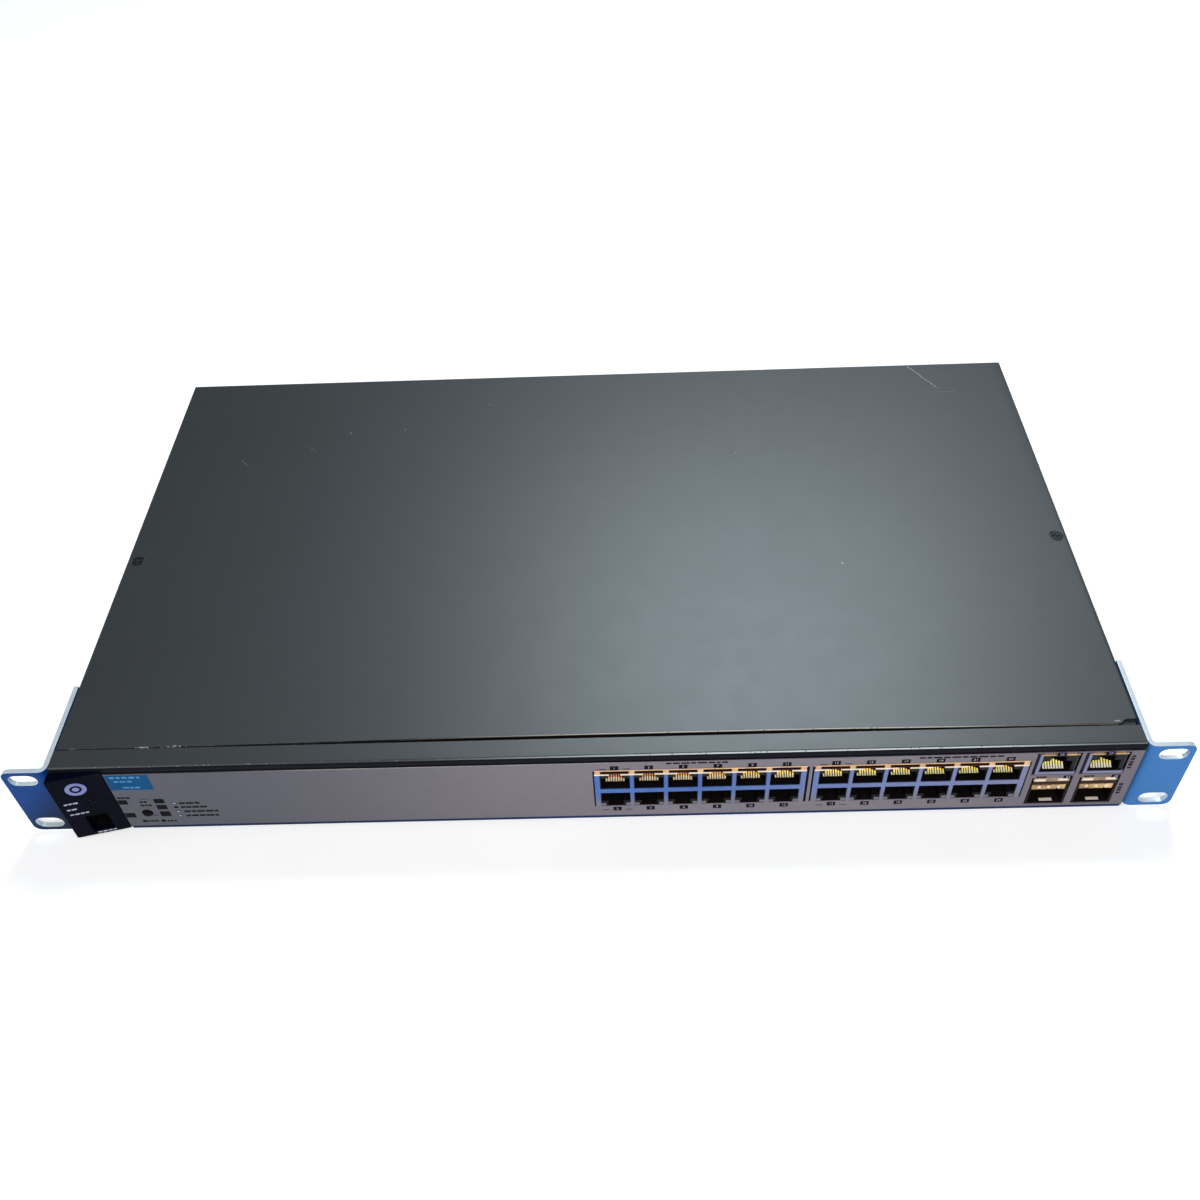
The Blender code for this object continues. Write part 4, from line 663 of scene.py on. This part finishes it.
def openSeam(piece):
    # the front edge gets a point at each place in the list, and each point moves back
    pick(piece)
    bpy.ops.object.mode_set(mode="EDIT")
    for x, _ in case["seamOpening"][1:-1]:
        bpy.ops.mesh.select_all(action="SELECT")
        bpy.ops.mesh.bisect(plane_co=spot(x, 0, 0), plane_no=(1, 0, 0))
    bpy.ops.object.mode_set(mode="OBJECT")
    for vert in piece.data.vertices:
        depth = (vert.co.y - labelPlane) / mm
        if depth < case["seamRear"] + 0.6 and vert.co.z > 40 * mm:
            vert.co.y += seamAt(vert.co.x / mm) * mm
    return piece


standIn(openSeam(nodeCopy("top_cover")), "top_cover", coverCoat, case["coverEdge"], 3)
# worn paint with a painted highlight along the cover's front edge, bright in the middle and fading out
# towards both ends
edgeWearAndHighlight = openSeam(block("cover_edge_wear_and_highlight", (-80, 213), (10.4, 10.8), (43.45, 43.87)))
for vert in edgeWearAndHighlight.data.vertices:
    if not -79 * mm < vert.co.x < 212 * mm:
        vert.co.z -= 0.4 * mm
paint(softEdges(edgeWearAndHighlight, 0.06, 2), wornEdgeAndHighlight)

# the front strip's face, and the bend between its face and its top: the face and the lower part of the bend
# take a darker, duller copy of the coat, which is the face's own dark paint and painted shade on the bend
bendFrom, bendTo = 0.85, 0.96


def isBend(middle, normal):
    atTopEdge = middle.y < 3 and middle.z > 40
    return atTopEdge and bendFrom <= normal.z < bendTo and normal.y < -0.05


front = standIn(nodeCopy("front_panel"), "front_panel", coverCoat, 0.12, 2)
secondLook(front, frontCoatAndBendShade, lambda middle, normal: normal.z < bendFrom)
# the top of the bend takes the painted highlight
secondLook(front, bendGlint, isBend)
# the joggle that the cover laps over, seen in the seam, painted near-black as painted shadow in the seam
joggle = block("seam_joggle", (-220.4, 220.4), (10.1, 14.6), (42.0, 42.5))
chooseFaces(joggle, facesBack)
pushFaces(y=1.2, z=-0.5)
bpy.ops.object.mode_set(mode="OBJECT")
paint(softEdges(joggle, 0.1, 1), seamShadow)
standIn(nodeCopy("base_pan"), "base_pan", panCoat, 0.2, 2)
print("case ready")


# rack ears: bright steel, its faces painted with the blue reflection of the table, and bare cut edges

earEdge = 0.25


def isCutEdge(middle, normal):
    inSlot = abs(middle.x) > 226 and 0.1 < middle.y < 1.9 and abs(normal.y) < 0.5
    return normal.z > 0.6 or inSlot


for side in ("left", "right"):
    ear = standIn(nodeCopy("rack_ear_" + side), "rack_ear_" + side, earBlueReflection, earEdge, 2)
    secondLook(ear, bareEdge, isCutEdge)
print("ears ready")


# front film with its openings, and the printing on it

def centreX(box):
    return (box[0].x + box[1].x) / 2 / mm


film = {"x": (-199.4, 220.9), "z": (1.8, 40.9), "y": (-0.05, 0.3)}
jackPitch = 13.97
bankLeft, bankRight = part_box("port_shield_left"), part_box("port_shield_right")
bankFrom, bankTo = bankLeft[0].x / mm - 0.6, bankRight[1].x / mm + 0.6
bankMiddles = [centreX(bankLeft), centreX(bankRight)]
uplinkX = [centreX(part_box("uplink_shield_%d" % number)) for number in (1, 2)]
buttonHoles = {"mode_button": 2.35, "reset_button": 1.0, "clear_button": 1.0}


def middleOf(node):
    low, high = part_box(node)
    return (low + high) / 2 / mm


def columnPlaces(centre):
    return [centre + (column - 2.5) * jackPitch for column in range(6)]


webLeft, webRight = 88.0, 89.3
cuts = [block("cut", span, (-5, 5), (8.95, 34.95)) for span in ((bankFrom, webLeft), (webRight, bankTo))]
for x in uplinkX:
    cuts.append(block("cut", (x - 9.4, x + 8.4), (-5, 5), (25.0, 40.4)))
    cuts.append(block("cut", (x - 8.2, x + 8.2), (-5, 5), (3.2, 22.8)))
for node, radius in buttonHoles.items():
    at = middleOf(node)
    cuts.append(rod("cut", (at.x, 0, at.z), radius, 10, sides=32))
labelPiece = carve(block("front_film", film["x"], film["y"], film["z"]), cuts)
standIn(labelPiece, "front_label", labelFilm, 0.04, 1)
# the upward faces of the film's top edge take the painted highlight
secondLook(labelPiece, filmEdgeHighlight, lambda middle, normal: middle.z > 40.8 and normal.z > 0.3)

art = {"proud": (-0.085, 0.0), "digit": 1.8, "box": (3.5, 2.7)}
ink = {"black": [], "grey": [], "blue": [], "sky": [], "pale": []}


def mark(kind, x, z, layer=0):
    face = art["proud"][0] - 0.02 * layer
    ink[kind].append(block("mark", x, (face, art["proud"][1]), z))


def dashes(kind, start, z, lengths, gap=0.5, layer=0):
    # short bars that stand in the place of words
    for length in lengths:
        mark(kind, (start, start + length), z, layer)
        start += length + gap


def numeral(kind, text, x, z, size, layer=1):
    deselectAll()
    bpy.ops.object.text_add(location=spot(x, art["proud"][0] - 0.02 * layer, z), rotation=(math.pi / 2, 0, 0))
    digits = bpy.context.active_object
    digits.data.body = text
    digits.data.size = size * mm
    digits.data.extrude = 0.03 * mm
    digits.data.resolution_u = 3
    digits.data.align_x = "CENTER"
    digits.data.align_y = "CENTER"
    bpy.ops.object.convert(target="MESH")
    ink[kind].append(settle("numeral"))


# status corner
mark("blue", (-199.2, -181.3), (29.6, 40.3))
dashes("sky", -197.2, (38.0, 39.2), (2.0, 1.6, 2.2, 2.4, 1.4), 0.7, 1)
dashes("sky", -196.2, (35.2, 36.3), (1.8, 2.4, 2.0), 0.6, 1)
dashes("sky", -193.8, (30.8, 31.8), (2.6, 1.4, 2.2), 0.5, 1)
dashes("black", -198.6, (22.9, 24.1), (1.6, 1.2, 1.8), 0.3)
mark("black", (-199.2, -195.4), (18.6, 21.8))
mark("black", (-199.2, -194.9), (8.5, 11.9))
dashes("black", -190.3, (19.6, 20.8), (1.4, 1.2), 0.4)
dashes("black", -190.6, (17.0, 18.2), (1.6, 1.0, 1.2), 0.4)
for low, high in ((19.0, 22.3), (14.3, 17.6), (8.9, 12.7)):
    mark("black", (-184.1, -179.8), (low, high))
mark("grey", (-189.4, -185.0), (22.2, 22.5))
mark("grey", (-187.6, -185.2), (9.6, 9.9))
dashes("black", -191.2, (4.9, 5.9), (1.0, 1.6, 1.4), 0.35)
dashes("black", -182.8, (4.7, 5.7), (1.0, 1.4, 1.0), 0.35)
# legend: a small sign and a few bars on each of four lines
legend = ((19.2, (2.4, 3.2, 2.2)), (16.2, (1.8, 2.2, 2.8, 3.0)),
          (12.9, (2.8, 1.8, 3.2, 3.4, 1.6)), (9.6, (2.0, 2.8, 2.6, 3.4, 1.4)))
for number, (z, lengths) in enumerate(legend):
    mark("black" if number == 1 else "grey", (-177.0, -175.2), (z - 1.2, z + 0.2))
    if number != 1:
        mark("pale", (-176.7, -175.5), (z - 0.9, z - 0.1), 1)
    dashes("black", -174.0 + 0.5 * (number > 1), (z - 1.15, z + 0.05), lengths, 0.4)

# a numbered box over and under every jack
numbered = []
for section, centre in enumerate(bankMiddles):
    for column, x in enumerate(columnPlaces(centre)):
        number = section * 12 + column * 2 + 1
        numbered += [(number, x, 37.2), (number + 1, x + 0.5, 6.9)]
for number, x, z in numbered:
    wide, high = art["box"]
    mark("black", (x - wide / 2, x + wide / 2), (z - high / 2, z + high / 2))
    numeral("pale", str(number), x, z, art["digit"])
    if number in (1, 2, 13, 14):
        for shift in (-6.3, 3.4):
            mark("grey", (x + shift, x + shift + 2.9), (z - 0.9, z - 0.5))
dashes("black", 29.7, (39.2, 40.2), (2.2, 2.8, 3.4, 2.0, 3.8, 2.6, 1.6, 2.4), 0.6)
dashes("black", 131.5, (38.9, 39.9), (2.4, 2.0, 3.4, 2.8, 3.6, 2.2, 3.0, 3.8, 2.4, 2.6), 0.6)
for low, count in ((28.5, 5), (10.0, 4)):
    for step in range(count):
        z = low + step * 2.0
        mark("grey", (216.4, 218.1), (z, z + (1.55 if step % 2 else 1.25)))
for number, x in enumerate(uplinkX):
    boxes = ((25 + number * 2, -1.5, 1.9, (38.3, 40.85)), (26 + number * 2, 4.3, 8.0, (21.7, 24.2)))
    for text, low, high, z in boxes:
        ink["black"].append(block("mark", (x + low, x + high), (art["proud"][0], 0.2), z))
        numeral("pale", str(text), x + (low + high) / 2, sum(z) / 2, art["digit"])
    dashes("black", x - 6.8, (22.9, 23.9), (1.2, 1.0, 1.4), 0.25)
inkLook = {"black": inkBlack, "grey": inkGrey, "blue": inkBlue, "sky": inkSky, "pale": inkPale}
for kind, look in inkLook.items():
    paint(join("printing_" + kind, ink[kind]), look)
print("film and printing ready")


# jack banks

bank = {
    "half": 43.3, "notch": 2.3, "notchTop": 33.3, "lipZ": (31.85, 32.8),
    "shoulder": 2.1, "shoulderTop": 10.5,
}
for side, centre in zip(("left", "right"), bankMiddles):
    shield = nodeCopy("port_shield_" + side)
    across = (centre - bank["half"], centre + bank["half"])
    notchSpans = [(x - bank["notch"], x + bank["notch"]) for x in columnPlaces(centre)]
    notches = [block("cut", span, (-5, 6), (30, bank["notchTop"])) for span in notchSpans]
    notches.append(block("cut", (across[0] - 2, across[1] + 2), (-2, 0.6), (0, 8.95)))
    carve(shield, notches)
    standIn(shield, "port_shield_" + side, shieldPlate, 0.12, 2)

    # pale lip of the shield's top, cut through over each jack
    lip = block("shield_lip_" + side, across, (-0.12, 0.12), bank["lipZ"])
    carve(lip, [block("cut", span, (-5, 5), (30, 40)) for span in notchSpans])
    softEdges(lip, 0.06, 1)
    paint(lip, lipCream)

    # the mouldings' upper notches are wider towards the left
    housing = nodeCopy("port_housing_" + side)
    carve(housing, [block("cut", (x - 3.1 - max(0, (x - 20) * 0.0095), x - 2.0), (-2, 2.4), (27.5, 31.7))
                    for x in columnPlaces(centre)])
    standIn(housing, "port_housing_" + side, jackBlack, 0.08, 1)

    # small plated shoulders in the lower corners of the lower jacks
    shoulders = []
    for x in columnPlaces(centre):
        for turn in (-1, 1):
            span = sorted((x + turn * (6.2 - bank["shoulder"]), x + turn * 6.25))
            shoulders.append(block("shoulder", span, (0.25, 0.7), (8.7, bank["shoulderTop"])))
    row = softEdges(join("shield_shoulders_" + side, shoulders), 0.3, 2)
    paint(row, shieldPlate)

    # grounding fingers: a bright lip, a channel painted dark brown as painted shade, and a sprung finger over
    # each divider
    strip = [block("strip", across, (-0.34, -0.02), (35.2, 35.7))]
    channel = join("strip_channel_" + side, [
        block("channel", across, (1.0, 1.3), (33.4, 34.9)),
        block("channel", across, (-0.06, 1.3), (32.8, 33.35))])
    paint(softEdges(channel, 0.08, 1), fingerShade)
    finger = block("finger", (-1.2, 1.2), (-0.3, -0.04), (33.3, 35.3))
    swellFront(finger, 0.25, -0.25)
    for column in range(7):
        strip.append(copyTo(finger, x=centre + (column - 3) * jackPitch))
    bpy.data.objects.remove(finger)
    fingers = softEdges(join("finger_strip_%s_leaves" % side, strip), 0.08, 1)
    paint(fingers, fingerCopper)
    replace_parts(fingers, "finger_strip_" + side)
print("banks ready")


# sprung contact wires, eight to a jack

wire = {"thick": 0.3, "pitch": 1.02, "slope": 0.7}


def makeWires(start, ends, spread=1.0, width=0.54):
    # start is the depth and the height of the front bend, and ends is how far back each wire goes
    half, row = width / 2, []
    depth, height = start
    for place, end in enumerate(ends):
        x = (place - 3.5) * wire["pitch"] * spread
        one = block("wire", (x - half, x + half), (depth - 0.3, depth), (height - wire["thick"], height))
        chooseFaces(one, facesBack)
        run = (end - depth) / 2
        pushFaces(y=run, z=run * wire["slope"] * 0.9)
        pushFaces(y=run, z=run * wire["slope"] * 1.1)
        bpy.ops.object.mode_set(mode="OBJECT")
        row.append(softEdges(one, 0.1, 1))
    return join("wires", row)


bankWires = makeWires((3.0, 1.9), (4.4, 4.7, 5.0, 5.3, 5.3, 5.0, 4.7, 4.4), 1.0, 0.66)
uplinkWires = makeWires((1.6, 0.75), (3.5, 3.7, 4.0, 4.4, 4.6, 4.2, 3.9, 3.6), 1.08, 0.78)
upperFoot, lowerHead = 21.7, 18.9
# the wires take a painted highlight up to these depths, where light reaches them through the openings
bankHighlightDepth, uplinkHighlightDepth = 3.65, 2.4
for side, centre in zip(("left", "right"), bankMiddles):
    sets = []
    for x in columnPlaces(centre):
        sets.append(copyTo(bankWires, x=x, z=upperFoot))
        sets.append(copyTo(bankWires, x=x, z=lowerHead, flip=True))
    wires = paint(join("contact_wires_" + side, sets), contactGold)
    secondLook(wires, wireLitHighlight, lambda middle, normal: middle.y < bankHighlightDepth)
    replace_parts(wires, "port_contacts_" + side)
sets = [copyTo(uplinkWires, x=x - 0.6, z=26.9) for x in uplinkX]
wires = paint(join("uplink_wires", sets), contactGold)
secondLook(wires, wireLitHighlight, lambda middle, normal: middle.y < uplinkHighlightDepth)
bpy.data.objects.remove(bankWires)
bpy.data.objects.remove(uplinkWires)
print("contacts ready")


# uplink jacks and module cages

for number, x in zip((1, 2), uplinkX):
    shell = nodeCopy("uplink_shield_%d" % number)
    carve(shell, [block("cut", (x + 6.3, x + 9.0), (-2, 1.2), (26.9, 40.0))])
    carve(shell, [block("cut", (x - 6.8, x + 9.0), (-2, 1.2), (36.6, 40.0))])
    standIn(shell, "uplink_shield_%d" % number, shieldPlate, 0.12, 2)
    # the module cage takes the painted shade of its deep insides
    standIn(nodeCopy("module_cage_%d" % number), "module_cage_%d" % number, cageDeepShade, 0.08, 1)

    # fingers over the jack: two bright leaves on a channel painted dark brown as painted shade
    channel = block("uplink_channel_%d" % number, (x - 7.8, x + 7.8), (0.9, 1.2), (38.7, 40.3))
    paint(softEdges(channel, 0.08, 1), fingerShade)
    leaves = [block("leaf", (x - 7.8, x + 7.8), (0.15, 0.4), (38.55, 39.05))]
    for shift in (-4.4, 4.4):
        leaf = block("leaf", (x + shift - 2.1, x + shift + 2.1), (0.05, 0.9), (38.7, 39.3))
        swellFront(leaf, 0.2, -0.2, -0.1)
        leaves.append(leaf)
    leaves = softEdges(join("uplink_fingers_%d" % number, leaves), 0.06, 1)
    paint(leaves, fingerCopper)
    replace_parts(leaves, "uplink_finger_strip_%d" % number)

    # collar over the cage mouth, its sprung tabs and the latch tab on the floor
    collar = [block("collar", (x - 7.4, x + 7.4), (0.0, 0.35), (20.0, 22.6))]
    pads = [block("pad", (x - 7.0, x - 2.6), (-0.25, 0.1), (20.5, 22.0)),
            block("pad", (x + 2.4, x + 6.4), (-0.25, 0.1), (20.9, 22.2))]
    for pad in pads:
        swellFront(pad, 0.3, -0.15)
    collarPiece = softEdges(join("cage_collar_%d" % number, collar), 0.1, 2)
    paint(collarPiece, collarBrass)
    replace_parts(collarPiece, "cage_finger_strip_%d" % number)
    paint(softEdges(join("collar_pads_%d" % number, pads), 0.08, 1), lipCream)
    # a dark strip under the collar: painted shade
    under = block("collar_shade_%d" % number, (x - 7.3, x + 7.3), (0.05, 0.3), (17.4, 19.9))
    paint(softEdges(under, 0.08, 1), fingerShade)
    # sprung flap of four leaves that hangs in the mouth, with three rounded contacts on it
    flap, bumps = [], []
    for place in (-5.3, -1.75, 1.75, 5.3):
        leaf = block("leaf", (x + place - 1.6, x + place + 1.6), (0.4, 0.62), (13.6, 17.5))
        swellFront(leaf, 0.45, -0.2)
        flap.append(leaf)
    paint(softEdges(join("cage_spring_%d" % number, flap), 0.08, 1), springBrass)
    for place in (-4.0, -0.1, 3.9):
        deselectAll()
        bpy.ops.mesh.primitive_uv_sphere_add(
            segments=16, ring_count=8, radius=0.72 * mm, location=spot(x + place, 0.3, 15.6),
            scale=(1, 0.7, 1.5))
        bumps.append(settle("bump"))
        chooseFaces(bumps[-1], lambda middle, normal: middle.y > 0.45)
        bpy.ops.mesh.delete(type="FACE")
        bpy.ops.mesh.select_all(action="SELECT")
        bpy.ops.mesh.region_to_loop()
        bpy.ops.mesh.edge_face_add()
        bpy.ops.object.mode_set(mode="OBJECT")
        bpy.ops.object.shade_smooth_by_angle(angle=math.radians(40))
    paint(join("cage_bumps_%d" % number, bumps), lipCream)
    latch = block("latch_tab_%d" % number, (x - 2.1, x + 3.2), (0.0, 1.2), (5.5, 5.75))
    chooseFaces(latch, facesFront)
    pushFaces(y=-0.1, z=0.3)
    bpy.ops.object.mode_set(mode="OBJECT")
    paint(softEdges(latch, 0.08, 1), lipCream)
print("uplinks and cages ready")


# bezel, its round badge and status marks

bezel = {"badge": (-211.6, 34.6), "badgeRadius": 4.2, "right": -199.7, "wide": 21.8, "proud": 4.5}
bezelTilt = math.atan(bezel["proud"] / bezel["wide"])


def onBezel(x):
    return -bezel["proud"] * (bezel["right"] - x) / bezel["wide"]


def bezelMark(name, x, z, deep=0.12):
    # a thin block laid on the slanting face
    wide, high = x[1] - x[0], z[1] - z[0]
    middle = (x[0] + x[1]) / 2
    deselectAll()
    bpy.ops.mesh.primitive_cube_add(
        size=1, location=spot(middle, onBezel(middle), (z[0] + z[1]) / 2),
        scale=(wide * mm, deep * mm, high * mm), rotation=(0, 0, bezelTilt))
    return settle(name)


standIn(nodeCopy("status_bezel"), "status_bezel", bezelGloss, 0.35, 3)
badgeX, badgeZ = bezel["badge"]
deselectAll()
bpy.ops.mesh.primitive_cylinder_add(
    vertices=48, radius=bezel["badgeRadius"] * mm, depth=0.3 * mm,
    location=spot(badgeX, onBezel(badgeX), badgeZ), rotation=(math.pi / 2, 0, bezelTilt))
badge = settle("round_badge")
swellFront(badge, 0.35, 0.06)
paint(softEdges(badge, 0.05, 2), badgeBlue)
# a plain ring on the badge
deselectAll()
bpy.ops.mesh.primitive_torus_add(
    major_segments=40, minor_segments=8, major_radius=1.9 * mm, minor_radius=0.5 * mm,
    location=spot(badgeX, onBezel(badgeX) - 0.1, badgeZ), rotation=(math.pi / 2, 0, bezelTilt))
ring = bpy.context.active_object
bpy.ops.object.shade_smooth()
ring.scale = (1, 1, 0.4)
paint(settle("badge_ring"), bezelGloss)
words = []
wordRows = ((-219.2, 25.3, (1.5, 1.2, 2.0)), (-219.2, 21.2, (1.4, 2.0)),
            (-219.1, 17.6, (1.6, 1.8, 1.6, 1.2)), (-212.8, 1.9, (1.6, 2.0, 1.4, 1.3)))
for start, z, lengths in wordRows:
    for length in lengths:
        words.append(bezelMark("word", (start, start + length), (z - 0.45, z + 0.45)))
        start += length + 0.4
paint(join("bezel_marks", words), inkPale)
print("bezel ready")


# screws with a cross recess

def crossHead(name, centre, radius, axis, depth=0.7, arm=0.62):
    # centre is the middle of the head's outer face, and axis points out of it
    x, y, z = centre
    along = "Z" if axis == "up" else "X"
    out = {"up": (0, 0, 1), "left": (-1, 0, 0), "right": (1, 0, 0)}[axis]
    height = 1.0
    head = rod(name, (x - out[0] * height / 2, y, z - out[2] * height / 2), radius, height, along, 32)
    reach = radius * arm
    bars = []
    for wide, long in ((0.28, reach), (reach, 0.28)):
        if axis == "up":
            bars.append(block("cut", (x - wide, x + wide), (y - long, y + long), (z - depth, z + 1)))
        else:
            bars.append(block("cut", (x - depth, x + depth), (y - wide, y + wide), (z - long, z + long)))
    for bar in bars:
        carve(head, [bar])
    return softEdges(head, 0.14, 2)


for side, turn in (("left", -1), ("right", 1)):
    low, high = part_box("cover_screw_" + side)
    middle = middleOf("cover_screw_" + side)
    place = (middle.x, middle.y - labelPlane / mm, high.z / mm)
    screw = crossHead("cover_screw_%s_head" % side, place, (high.x - low.x) / 2 / mm, "up")
    paint(screw, screwBlack)
    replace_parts(screw, "cover_screw_" + side)
    for number in range(1, 5):
        node = "ear_screw_%s_%d" % (side, number)
        low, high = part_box(node)
        middle = middleOf(node)
        face = (low.x if turn < 0 else high.x) / mm
        place = (face, middle.y - labelPlane / mm, middle.z)
        screw = crossHead(node + "_head", place, (high.z - low.z) / 2 / mm, side)
        paint(screw, screwSteel)
        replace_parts(screw, node)
print("screws ready")


# inlet, console jack and buttons

standIn(nodeCopy("power_inlet"), "power_inlet", jackBlack, 0.25, 2)
standIn(nodeCopy("console_jack"), "console_jack", jackBlack, 0.12, 1)
for node in ("mode_button", "reset_button", "clear_button"):
    standIn(nodeCopy(node), node, keyBlack, 0.12, 2)

# a dark blue strip under the film: painted shade, in the colour of the shaded blue table under the front
tableShadeStrip = block("table_shade_strip", (-198.9, 220.6), (0.0, 0.6), (0.02, 1.78))
paint(softEdges(tableShadeStrip, 0.08, 1), tableShadeBlue)


# floor, lights and camera

deselectAll()
bpy.ops.mesh.primitive_plane_add(size=14, location=(0, 0, -0.0002))
floor = bpy.context.active_object
floor.name = "floor"
floor.data.materials.append(makeFinish("floorPale", {
    "base": tint(246, 246, 246), "shade": tint(242, 242, 242), "patch": 2.0, "grain": 400.0, "bump": 0.02,
    "rough": (0.6, 0.7)}))
floorShader = floor.data.materials[0].node_tree.nodes["Principled BSDF"]
floorShader.inputs["Emission Color"].default_value = (1, 1, 1, 1)
floorShader.inputs["Emission Strength"].default_value = 0.36


def softbox(name, place, target, size, power, color=(1, 1, 1)):
    light = bpy.data.lights.new(name, "AREA")
    light.shape = "RECTANGLE"
    light.size, light.size_y = size
    light.energy = power
    light.color = color
    lamp = bpy.data.objects.new(name, light)
    lamp.location = place
    lamp.rotation_euler = (Vector(target) - Vector(place)).to_track_quat("-Z", "Y").to_euler()
    bpy.context.scene.collection.objects.link(lamp)
    return lamp


softbox("backLight", (0.235, 0.94, 1.46), (0.06, -0.06, 0.04), (0.7, 0.5), 15.5, (0.80, 0.92, 1.0))
softbox("frontLight", (0.30, -1.35, 1.35), (0.05, -0.1, 0.02), (0.5, 0.5), 17, (1.0, 0.99, 0.97))
softbox("sideLight", (-1.6, -0.6, 1.6), (0, 0, 0), (1.4, 1.4), 14, (0.97, 0.98, 1.0))
world = bpy.data.worlds.new("studio")
bpy.context.scene.world = world
world.use_nodes = True
world.node_tree.nodes["Background"].inputs[0].default_value = (0.94, 0.97, 1.0, 1)
world.node_tree.nodes["Background"].inputs[1].default_value = 0.13

lens = bpy.data.cameras.new("camera")
lens.sensor_width = 36
lens.lens = 36.1831
lens.shift_x, lens.shift_y = -0.00463, -0.10761
lens.clip_start = 0.01
camera = bpy.data.objects.new("camera", lens)
camera.location = (0.019852, -0.395705, 0.458577)
camera.rotation_euler = tuple(math.radians(turn) for turn in (46.84689, 2.09977, -0.18461))
bpy.context.scene.collection.objects.link(camera)
bpy.context.scene.camera = camera
bpy.context.scene.view_settings.view_transform = "Standard"
print("stage ready")
